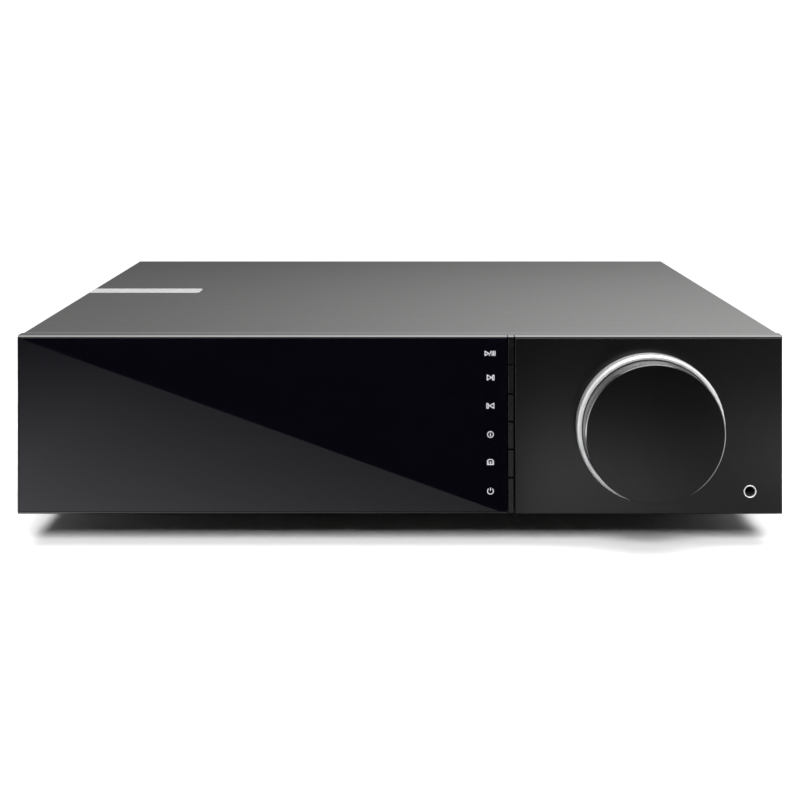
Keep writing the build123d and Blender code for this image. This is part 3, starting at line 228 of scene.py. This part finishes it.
M = {}
# painted shade: dark_anodised takes a darker colour on its chamfers, which dims the front-edge highlight
M["dark_anodised"] = surface("dark_anodised", (0.075, 0.073, 0.073), 0.29, metal=1.0, grain=3200, grain_h=0.006, var=0.02, rvar=0.012, dust=0.03, wave=0.03, chamfer_painted_shade=(0.058, 0.057, 0.057))
# painted light: the front frame gets a lighter copy of dark_anodised so its top strip reads brighter, with painted
# shade on its chamfers
M["frame_anodised_painted_lighter"] = surface("frame_anodised_painted_lighter", (0.094, 0.092, 0.092), 0.29, metal=1.0, grain=3200, grain_h=0.006, var=0.02, rvar=0.012, wave=0.03, chamfer_painted_shade=(0.082, 0.082, 0.082))
M["panel_black"] = surface("panel_black", (0.0008, 0.0008, 0.0009), 0.25, metal=0.0, grain=2600, grain_h=0.003, var=0.08, rvar=0.010, spec=0.60, wave=0.03)
M["chassis_black"] = surface("chassis_black", (0.022, 0.022, 0.0225), 0.55, grain=1500, grain_h=0.03, var=0.12, spec=0.2)
M["bright_aluminium"] = surface("bright_aluminium", (0.83, 0.83, 0.83), 0.30, metal=0.85, grain=2200, grain_h=0.004, var=0.02, rvar=0.02, wave=0.02)
M["ring_bright"] = turned("ring_bright", (0.66, 0.66, 0.66), 0.32, metal=0.65, centre=(KX, KZ), line=7000, depth=0.012, var=0.05)
M["jack_bright"] = turned("jack_bright", (0.60, 0.60, 0.60), 0.30, metal=0.5, centre=(0.145, 0.0244), line=9000, depth=0.006, var=0.05)
M["knob_grey"] = turned("knob_grey", (0.30, 0.30, 0.302), 0.31, (KX, KZ), line=9000, depth=0.016, var=0.12, rim=(YF - 0.018 + 0.0005, (0.55, 0.55, 0.55)))
M["knob_black"] = turned("knob_black", (0.0004, 0.0004, 0.0004), 0.21, (KX, KZ), line=6000, depth=0.003, metal=0.0, var=0.12)
M["composite"] = surface("composite", (0.030, 0.030, 0.031), 0.55, grain=1800, grain_h=0.03, var=0.12, dust=0.10)
M["black_sheet"] = surface("black_sheet", (0.022, 0.022, 0.0225), 0.48, grain=1500, grain_h=0.03, var=0.12, dust=0.08)
# painted shade: key_plastic is darker and less specular on its chamfers
M["key_plastic"] = surface("key_plastic", (0.0016, 0.0015, 0.0014), 0.28, grain=3000, grain_h=0.008, var=0.10, spec=0.62, chamfer_painted_shade=(0.0006, 0.0006, 0.0006))
M["zinc_steel"] = surface("zinc_steel", (0.56, 0.56, 0.55), 0.32, metal=1.0, grain=1600, grain_h=0.012, var=0.10)
M["black_screw"] = surface("black_screw", (0.035, 0.034, 0.033), 0.34, metal=0.9, grain=2600, grain_h=0.01, var=0.2)
M["magnet"] = surface("magnet", (0.62, 0.61, 0.59), 0.16, metal=1.0, grain=2200, grain_h=0.004, var=0.06)
M["rubber"] = surface("rubber", (0.030, 0.030, 0.030), 0.75, grain=1400, grain_h=0.04, var=0.15, dust=0.2)
M["foot_plastic"] = surface("foot_plastic", (0.036, 0.036, 0.037), 0.5, grain=1500, grain_h=0.03, var=0.12)
M["black_plastic"] = surface("black_plastic", (0.022, 0.022, 0.023), 0.42, grain=1800, grain_h=0.02, var=0.12)
M["gold"] = surface("gold", (0.86, 0.62, 0.27), 0.20, metal=1.0, grain=2400, grain_h=0.005, var=0.08)
M["cap_red"] = surface("cap_red", (0.42, 0.012, 0.014), 0.20, grain=2200, grain_h=0.006, var=0.10, coat=0.3)
M["cap_black"] = surface("cap_black", (0.018, 0.018, 0.019), 0.22, grain=2200, grain_h=0.006, var=0.10, coat=0.3)
M["circuit_board"] = surface("circuit_board", (0.012, 0.105, 0.045), 0.34, grain=700, grain_h=0.03, var=0.25, coat=0.2)
M["chip_black"] = surface("chip_black", (0.028, 0.028, 0.029), 0.5, grain=1500, grain_h=0.02)
M["white_plastic"] = surface("white_plastic", (0.78, 0.78, 0.75), 0.4, grain=1500, grain_h=0.01, var=0.04)
M["display"] = surface("display", (0.012, 0.012, 0.016), 0.12, grain=1500, grain_h=0.003, var=0.2)
M["ferrite"] = surface("ferrite", (0.10, 0.09, 0.08), 0.55, grain=1200, grain_h=0.03, var=0.2)
M["capacitor"] = surface("capacitor", (0.03, 0.035, 0.07), 0.3, grain=1500, grain_h=0.01, var=0.15)
M["heatsink"] = surface("heatsink", (0.05, 0.05, 0.05), 0.4, metal=0.8, grain=2200, grain_h=0.012)
M["cable"] = surface("cable", (0.55, 0.55, 0.52), 0.4, grain=900, grain_h=0.01, var=0.1)


def glass():
    """Black-backed glass: near-black with the faintest smears in the gloss."""
    t = Tree("black_glass")
    v = t.mapped()
    smear = t.noise(t.mapped(scale=(1, 1, 2.2), rot=(0, 0.5, 0)), 26.0, 4.0, 0.6, 1.2)
    speck = t.rng(t.noise(v, 1100.0, 1.0, 0.5), 0.0, 0.05, 0.76, 0.80)
    col = t.mix(speck, t.mix(smear, (0.0006, 0.0005, 0.0012), (0.0010, 0.0009, 0.0018)), (0.1, 0.1, 0.1))
    r = t.math("ADD", t.rng(smear, 0.012, 0.030, 0.4, 0.8), speck, clamp=True)
    p = t.principled(**{"Base Color": col, "Roughness": r, "IOR": 1.5, "Specular IOR Level": 0.5,
                        "Normal": t.bump(smear, 0.02, 0.002 * MM)})
    return t.finish(p.outputs[0])


M["black_glass"] = glass()

SPECIAL = {
    "front_frame": "frame_anodised_painted_lighter", "knob_panel": "panel_black", "base_chassis": "chassis_black", "source_ring": "ring_bright",
    "headphone_ring": "jack_bright",
}
SLOT = {q["node"]: q["material_slot"] for q in frame["record"]["subparts"]}
for node, obj in N.items():
    key = SPECIAL.get(node, SLOT[node])
    obj.data.materials.clear()
    obj.data.materials.append(M[key])


# ---------------------------------------------------------------- added pieces
def mesh_piece(name, verts, faces, mat, body, smooth=False):
    me = bpy.data.meshes.new(name)
    me.from_pydata([tuple(a * MM for a in v) for v in verts], [], faces)
    me.update()
    if smooth:
        for p in me.polygons:
            p.use_smooth = True
    o = bpy.data.objects.new(name, me)
    bpy.context.scene.collection.objects.link(o)
    me.materials.append(mat)
    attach(o, body)
    return o


class Ink:
    """Flat strokes with a hair of thickness, drawn on a vertical face (x, z in mm)."""

    def __init__(self, y, thick):
        self.v, self.f, self.y, self.t = [], [], y, thick

    def poly(self, pts):
        n = len(pts)
        b = len(self.v)
        for y in (self.y + self.t, self.y):
            for x, z in pts:
                self.v.append((x, y, z))
        self.f.append(tuple(b + i for i in range(n)))
        self.f.append(tuple(b + n + i for i in reversed(range(n))))
        for i in range(n):
            j = (i + 1) % n
            self.f.append((b + i, b + n + i, b + n + j, b + j))

    def line(self, a, c, w):
        ax, az = a
        cx, cz = c
        L = math.hypot(cx - ax, cz - az)
        ux, uz = (cx - ax) / L * w / 2, (cz - az) / L * w / 2
        self.poly([(ax - ux - uz, az - uz + ux), (cx + ux - uz, cz + uz + ux),
                   (cx + ux + uz, cz + uz - ux), (ax - ux + uz, az - uz - ux)])

    def path(self, pts, w, closed=False):
        for a, c in zip(pts, pts[1:] + ([pts[0]] if closed else [])):
            self.line(a, c, w)

    def arc(self, cx, cz, r, w, a0=0.0, a1=360.0, steps=40):
        pts = []
        full = abs(a1 - a0) >= 360
        for i in range(steps):
            t0 = math.radians(a0 + (a1 - a0) * i / steps)
            t1 = math.radians(a0 + (a1 - a0) * (i + 1) / steps)
            ri, ro = r - w / 2, r + w / 2
            self.poly([(cx + ro * math.cos(t0), cz + ro * math.sin(t0)), (cx + ro * math.cos(t1), cz + ro * math.sin(t1)),
                       (cx + ri * math.cos(t1), cz + ri * math.sin(t1)), (cx + ri * math.cos(t0), cz + ri * math.sin(t0))])


def lit(name, colour, strength):
    t = Tree(name)
    v = t.mapped()
    k = t.rng(t.noise(v, 600.0, 2.0, 0.5), 0.86, 1.0, 0.3, 0.7)
    e = t.n("ShaderNodeEmission")
    t.link(t.mix(k, shade(colour, 0.6), colour), e.inputs["Color"])
    e.inputs["Strength"].default_value = strength
    return t.finish(e.outputs[0])


ICON = lit("icon_light", (0.84, 0.84, 0.89), 1.15)
IX = 37.5
W = 0.34
IY = YF / MM - 0.04


def icon(name, draw):
    k = Ink(IY, 0.035)
    draw(k)
    # the symbols are small: about 3 mm across
    cx, cz = [(min(q[i] for q in k.v) + max(q[i] for q in k.v)) / 2 for i in (0, 2)]
    k.v = [(cx + (q[0] - cx) * 0.87, q[1], cz + (q[2] - cz) * 0.87) for q in k.v]
    mesh_piece("icon_" + name, k.v, k.f, ICON, "unit")


def tri(k, x, z, s, way=1, w=W):
    k.path([(x - way * s * 0.5, z + s * 0.62), (x + way * s * 0.62, z), (x - way * s * 0.5, z - s * 0.62)], w, closed=True)


def play(k):
    z = 81.6
    tri(k, IX - 1.75, z, 1.60)
    k.line((IX - 0.55, z - 1.1), (IX + 0.25, z + 1.1), 0.28)
    for dx in (0.80, 1.50, 2.20):
        k.line((IX + dx, z - 1.0), (IX + dx, z + 1.0), 0.34)


def nxt(k):
    z = 71.6
    tri(k, IX - 0.6, z, 1.9)
    k.path([(IX + 1.0, z - 1.15), (IX + 1.0, z + 0.9), (IX + 1.70, z + 1.1), (IX + 1.70, z - 1.15)], W, closed=True)


def prev(k):
    z = 59.9
    tri(k, IX + 0.7, z, 1.9, way=-1)
    k.path([(IX - 1.0, z - 1.15), (IX - 1.0, z + 0.9), (IX - 1.70, z + 1.1), (IX - 1.70, z - 1.15)], W, closed=True)


def info(k):
    z = 48.0
    k.arc(IX, z, 1.40, 0.30)
    k.line((IX, z - 0.65), (IX, z + 0.15), 0.34)
    k.poly([(IX - 0.2, z + 0.5), (IX + 0.2, z + 0.5), (IX + 0.2, z + 0.85), (IX - 0.2, z + 0.85)])


def source(k):
    z = 36.6
    k.path([(IX - 1.45, z - 1.2), (IX - 1.45, z + 0.55), (IX - 0.55, z + 1.25), (IX + 0.95, z + 1.05), (IX + 1.45, z + 0.4),
            (IX + 1.45, z - 1.2)], 0.32, closed=True)
    for dx in (-0.8, 0.0, 0.8):
        k.line((IX + dx, z - 0.85), (IX + dx, z + 0.1), 0.28)


def power(k):
    z = 24.5
    k.arc(IX, z, 1.40, 0.32, 125, 415)
    k.line((IX, z + 0.35), (IX, z + 1.55), 0.32)


for nm, fn in (("play", play), ("next", nxt), ("previous", prev), ("info", info), ("source", source), ("power", power)):
    icon(nm, fn)


def tube_rings(name, x, z, y0, y1, pitch, r, h, mat, body, slot):
    """Thread crests: a stack of shallow ridges round a round post along Y."""
    verts, faces = [], []
    seg = 40
    y = y0
    while y + pitch <= y1:
        b = len(verts)
        for yy, rr in ((y, r), (y + pitch * 0.5, r + h), (y + pitch, r)):
            for i in range(seg):
                a = 2 * math.pi * i / seg
                verts.append((x + rr * math.cos(a), yy, z + rr * math.sin(a)))
        for k in range(2):
            for i in range(seg):
                j = (i + 1) % seg
                faces.append((b + k * seg + i, b + (k + 1) * seg + i, b + (k + 1) * seg + j, b + k * seg + j))
        y += pitch
    return verts, faces


tv, tf = [], []
for x in (60.0, 95.0, 130.0):
    v, f = tube_rings("t", x, 66.0, YR / MM + 2.0, YR / MM + 9.6, 0.70, 3.1, 0.14, None, None, None)
    b = len(tv)
    tv += v
    tf += [tuple(b + i for i in q) for q in f]
mesh_piece("antenna_threads", tv, tf, M["gold"], "unit", smooth=True)

# coloured insulating washers and centres of the phono sockets
RCA_RED = surface("phono_red", (0.45, 0.02, 0.02), 0.35, grain=2000, grain_h=0.006)
RCA_WHITE = surface("phono_white", (0.72, 0.72, 0.70), 0.35, grain=2000, grain_h=0.006, var=0.05)


def washer(x, z, y0, y1, r0, r1, seg=48):
    verts, faces = [], []
    for yy, rr in ((y0, r0), (y0, r1), (y1, r1), (y1, r0)):
        for i in range(seg):
            a = 2 * math.pi * i / seg
            verts.append((x + rr * math.cos(a), yy, z + rr * math.sin(a)))
    for k in range(4):
        k2 = (k + 1) % 4
        for i in range(seg):
            j = (i + 1) % seg
            faces.append((k * seg + i, k * seg + j, k2 * seg + j, k2 * seg + i))
    return verts, faces


for col, mat, zz in (("white", RCA_WHITE, 46.0), ("red", RCA_RED, 30.0)):
    tv, tf = [], []
    for x in (-2.0, 14.0, 30.0):
        for y0, y1, r0, r1 in ((YR / MM + 1.2, YR / MM + 1.75, 4.2, 5.7), (YR / MM + 8.2, YR / MM + 8.7, 1.62, 3.28)):
            v, f = washer(x, zz, y0, y1, r0, r1)
            b = len(tv)
            tv += v
            tf += [tuple(b + i for i in q) for q in f]
    mesh_piece("phono_insulators_" + col, tv, tf, mat, "unit")

# printed outlines on the rear panel, with no lettering
PRINT = surface("rear_print", (0.62, 0.62, 0.60), 0.5, grain=1800, grain_h=0.004, var=0.08)
k = Ink(YR / MM, 0.05)


def frame_box(x0, x1, z0, z1, w=0.35, r=2.0):
    k.line((x0 + r, z0), (x1 - r, z0), w)
    k.line((x0 + r, z1), (x1 - r, z1), w)
    k.line((x0, z0 + r), (x0, z1 - r), w)
    k.line((x1, z0 + r), (x1, z1 - r), w)
    for cx, cz, a in ((x0 + r, z0 + r, 180), (x1 - r, z0 + r, 270), (x1 - r, z1 - r, 0), (x0 + r, z1 - r, 90)):
        k.arc(cx, cz, r, w, a, a + 90, 8)


frame_box(-98, -11, 22, 51)
k.line((-54.5, 24), (-54.5, 49), 0.35)
frame_box(-9, 37.5, 20.5, 54.5)
frame_box(40.5, 85, 22.5, 41.5)
frame_box(86.5, 139, 22.5, 42.5)
for i, x in enumerate((-86.0, -67.0, -42.0, -23.0)):
    k.line((x - 1.6, 47.6), (x + 1.6, 47.6), 0.45)
    if i % 2 == 0:
        k.line((x, 46.0), (x, 49.2), 0.45)
for x in (60.0, 95.0, 130.0):
    for rr in (2.0, 3.4, 4.8):
        k.arc(x, 72.5, rr, 0.35, 50, 130, 10)
mesh_piece("rear_print_lines", k.v, k.f, PRINT, "unit")

# ---------------------------------------------------------------- stage
CAM_D = 0.6788
CAM_Z = 0.1862
CAM_X = 0.0006


def staged(o):
    bpy.context.scene.collection.objects.link(o)
    return o


def floor_material():
    """White floor. Mirrors see its brightness fall away from the object, with one dark wedge."""
    t = Tree("floor_white")
    s = t.sep()
    ahead = t.math("SUBTRACT", YF, s[1])
    ahead = t.math("MAXIMUM", ahead, 0.0)
    fall = t.math("MULTIPLY", t.math("EXPONENT", t.math("MULTIPLY", ahead, -1 / 0.25)), 1.20)
    # and a little to the right
    right = t.math("MULTIPLY", t.math("EXPONENT", t.math("MULTIPLY", s[0], -1 / 0.20)), 0.60)
    def step(v, lo, hi):
        m = t.n("ShaderNodeMapRange", interpolation_type="SMOOTHSTEP")
        t.link(v, m.inputs["Value"])
        m.inputs["From Min"].default_value, m.inputs["From Max"].default_value = lo, hi
        return m.outputs["Result"]
    # a broad pool of light ahead of the knob panel, dimmer in line with the knob
    pool = t.math("MULTIPLY", step(ahead, 0.38, 0.15), t.math("SUBTRACT", 1.0, t.math("MULTIPLY", step(ahead, 0.16, 0.07), 0.55)))
    dx = t.math("MULTIPLY", t.math("SUBTRACT", s[0], 0.155), 1 / 0.034)
    dip = t.math("MULTIPLY", t.math("EXPONENT", t.math("MULTIPLY", t.math("MULTIPLY", dx, dx), -1.0)), 0.62)
    across = t.math("ADD", t.math("SUBTRACT", 1.0, dip), t.math("MULTIPLY", step(s[0], 0.19, 0.25), 0.5))
    boost = t.math("MULTIPLY", t.math("MULTIPLY", step(s[0], 0.040, 0.055), across), t.math("MULTIPLY", pool, 0.88))
    boost = t.math("ADD", boost, t.math("MULTIPLY", step(s[0], 0.24, 0.31), 0.12))
    fall = t.math("ADD", t.math("MULTIPLY", fall, t.math("MINIMUM", right, 1.6)), boost)
    # wedge: right of the line A-B and left of the line C-B, on the near side of B
    ax, ay, bx, by, cx = -0.2981, -0.7626, 0.0482, -0.2173, 0.0834
    x_ab = t.math("ADD", ax, t.math("MULTIPLY", t.math("SUBTRACT", s[1], ay), (bx - ax) / (by - ay)))
    x_cb = t.math("ADD", cx, t.math("MULTIPLY", t.math("SUBTRACT", s[1], ay), (bx - cx) / (by - ay)))
    inside = t.math("MULTIPLY", t.math("GREATER_THAN", s[0], x_ab), t.math("LESS_THAN", s[0], t.math("ADD", x_cb, 0.004)))
    inside = t.math("MULTIPLY", inside, t.math("LESS_THAN", s[1], by))
    seen = t.math("MULTIPLY", fall, t.math("SUBTRACT", 1.0, inside))
    # and dark in the shade under the unit
    wide = step(t.math("ABSOLUTE", s[0]), 0.16, 0.13)
    deep = t.math("MULTIPLY", step(s[1], YF - 0.055, YF - 0.020), step(s[1], YR, YR - 0.03))
    seen = t.math("MULTIPLY", seen, t.math("SUBTRACT", 1.0, t.math("MULTIPLY", t.math("MULTIPLY", wide, deep), 0.95)))
    em = t.n("ShaderNodeEmission")
    em.inputs["Color"].default_value = (0.98, 0.97, 1.0, 1)
    t.link(seen, em.inputs["Strength"])
    d = t.n("ShaderNodeBsdfDiffuse")
    grain = t.noise(t.mapped(), 60.0, 3.0, 0.5)
    t.link(t.mix(grain, (0.86, 0.86, 0.86), (0.90, 0.90, 0.90)), d.inputs["Color"])
    lp = t.n("ShaderNodeLightPath")
    m = t.n("ShaderNodeMixShader")
    t.link(lp.outputs["Is Glossy Ray"], m.inputs[0])
    # far floor melts into the white backdrop
    far = t.math("SQRT", t.math("ADD", t.math("MULTIPLY", s[0], s[0]), t.math("MULTIPLY", s[1], s[1])))
    k = t.n("ShaderNodeMapRange", interpolation_type="SMOOTHSTEP")
    t.link(far, k.inputs["Value"])
    k.inputs["From Min"].default_value, k.inputs["From Max"].default_value = 0.32, 0.75
    white = t.n("ShaderNodeEmission")
    white.inputs["Strength"].default_value = 1.05
    m2 = t.n("ShaderNodeMixShader")
    t.link(t.math("MULTIPLY", k.outputs["Result"], lp.outputs["Is Camera Ray"]), m2.inputs[0])
    t.link(d.outputs[0], m2.inputs[1])
    t.link(white.outputs[0], m2.inputs[2])
    t.link(m2.outputs[0], m.inputs[1])
    t.link(em.outputs[0], m.inputs[2])
    return t.finish(m.outputs[0])


me = bpy.data.meshes.new("floor")
me.from_pydata([(-6, -6, 0), (6, -6, 0), (6, 6, 0), (-6, 6, 0)], [], [(0, 1, 2, 3)])
floor = staged(bpy.data.objects.new("floor", me))
me.materials.append(floor_material())


def area(name, loc, aim, size, power, colour=(1, 1, 1), shape="RECTANGLE", size_y=None, glossy=True):
    L = bpy.data.lights.new(name, "AREA")
    L.energy = power
    L.color = colour
    L.shape = shape
    L.size = size
    if size_y:
        L.size_y = size_y
    o = staged(bpy.data.objects.new(name, L))
    o.location = loc
    o.rotation_euler = (Vector(aim) - Vector(loc)).to_track_quat("-Z", "Y").to_euler()
    o.visible_camera = False
    o.visible_glossy = glossy
    return o


area("top_soft", (0.05, -0.2, 1.6), (0.0, 0.0, 0.0), 1.5, 53.0, size_y=2.2)
area("front_key", (0.0, -2.0, 1.20), (0.0, -0.12, 0.0), 0.9, 73.0, size_y=0.66, glossy=False)


def back_card():
    """An upright card behind the unit, seen only in reflections: it brightens with height and to the right."""
    t = Tree("back_card")
    s = t.sep()
    up = t.rng(s[2], 0.0, 1.35, 0.085, 0.335)
    up = t.math("MINIMUM", t.math("MAXIMUM", up, 0.0), 1.2)
    k = t.n("ShaderNodeMapRange", interpolation_type="SMOOTHSTEP")
    t.link(s[0], k.inputs["Value"])
    k.inputs["From Min"].default_value, k.inputs["From Max"].default_value = -0.32, 0.36
    k.inputs["To Min"].default_value, k.inputs["To Max"].default_value = 0.50, 1.35
    e = t.n("ShaderNodeEmission")
    t.link(t.math("ADD", t.math("MULTIPLY", up, k.outputs["Result"]), 0.03), e.inputs["Strength"])
    e.inputs["Color"].default_value = (1.0, 0.995, 0.99, 1)
    return t.finish(e.outputs[0])


me = bpy.data.meshes.new("back_card")
me.from_pydata([(-1.3, 0.45, 0.0), (1.3, 0.45, 0.0), (1.3, 0.45, 1.1), (-1.3, 0.45, 1.1)], [], [(0, 1, 2, 3)])
card = staged(bpy.data.objects.new("back_card", me))
me.materials.append(back_card())
card.visible_camera = card.visible_diffuse = card.visible_shadow = card.visible_transmission = False


class WorldTree(Tree):
    """The studio round the object: dark behind the camera, brighter overhead, behind and to the sides."""

    def __init__(self, world):
        world.use_nodes = True
        self.nt = world.node_tree
        self.nt.nodes.clear()
        self.out = self.n("ShaderNodeOutputWorld")
        self.coord = self.n("ShaderNodeTexCoord")

    def smooth(self, v, lo, hi, flo, fhi):
        m = self.n("ShaderNodeMapRange", interpolation_type="SMOOTHSTEP")
        self.link(v, m.inputs["Value"])
        m.inputs["From Min"].default_value, m.inputs["From Max"].default_value = flo, fhi
        m.inputs["To Min"].default_value, m.inputs["To Max"].default_value = lo, hi
        return m.outputs["Result"]


world = bpy.data.worlds.new("studio")
bpy.context.scene.world = world
wt = WorldTree(world)
d = wt.sep(wt.coord.outputs["Generated"])
general = wt.math("MULTIPLY", wt.smooth(d[0], 0.50, 1.10, -0.30, 0.30), wt.smooth(d[2], 0.20, 1.10, 0.0, 0.40))
sides = wt.math("ADD", wt.smooth(d[0], 0.85, 0.0, -1.0, -0.45), wt.smooth(d[0], 0.0, 0.55, 0.45, 1.0))
general = wt.math("MAXIMUM", general, sides)
lp = wt.n("ShaderNodeLightPath")
general = wt.math("MULTIPLY", general, wt.math("SUBTRACT", 1.0, wt.math("MULTIPLY", lp.outputs["Is Diffuse Ray"], 0.88)))
front = wt.math("MULTIPLY", wt.smooth(d[1], 1.0, 0.0, -0.85, -0.30), wt.smooth(d[2], 1.0, 0.0, 0.35, 0.75))
strength = wt.math("ADD", wt.math("MULTIPLY", general, wt.math("SUBTRACT", 1.0, front)), 0.03)
bg = wt.n("ShaderNodeBackground")
bg.inputs["Color"].default_value = (1.0, 0.995, 0.99, 1)
wt.link(strength, bg.inputs["Strength"])
bg_cam = wt.n("ShaderNodeBackground")
bg_cam.inputs["Color"].default_value = (1, 1, 1, 1)
bg_cam.inputs["Strength"].default_value = 1.05
mx = wt.n("ShaderNodeMixShader")
wt.link(lp.outputs["Is Camera Ray"], mx.inputs[0])
wt.link(bg.outputs[0], mx.inputs[1])
wt.link(bg_cam.outputs[0], mx.inputs[2])
wt.link(mx.outputs[0], wt.out.inputs[0])

cam_data = bpy.data.cameras.new("camera")
cam = staged(bpy.data.objects.new("camera", cam_data))
cam_data.sensor_width = 36.0
cam_data.lens = 2.4134 * CAM_D * 1000 * 36.0 / 800.0
cam_data.clip_start, cam_data.clip_end = 0.01, 50.0
cam.location = (CAM_X, YF - CAM_D, CAM_Z)
cam.rotation_euler = (math.radians(90), 0, 0)
# the lens shift holds only while the camera stands at its own place in front of the unit
for path, amount in (("shift_x", -0.00175), ("shift_y", -0.37383)):
    d = cam_data.driver_add(path).driver
    d.type = "SCRIPTED"
    var = d.variables.new()
    var.name = "cy"
    var.type = "TRANSFORMS"
    var.targets[0].id = cam
    var.targets[0].transform_type = "LOC_Y"
    var.targets[0].transform_space = "WORLD_SPACE"
    d.expression = f"{amount} if abs(cy + {CAM_D - YF:.6f}) < 0.0005 else 0.0"
bpy.context.scene.camera = cam

vs = bpy.context.scene.view_settings
vs.view_transform = "Standard"
vs.look = "None"
vs.exposure = 0.0
vs.gamma = 1.0
bpy.context.scene.cycles.max_bounces = 8
bpy.context.scene.cycles.sample_clamp_indirect = 6.0
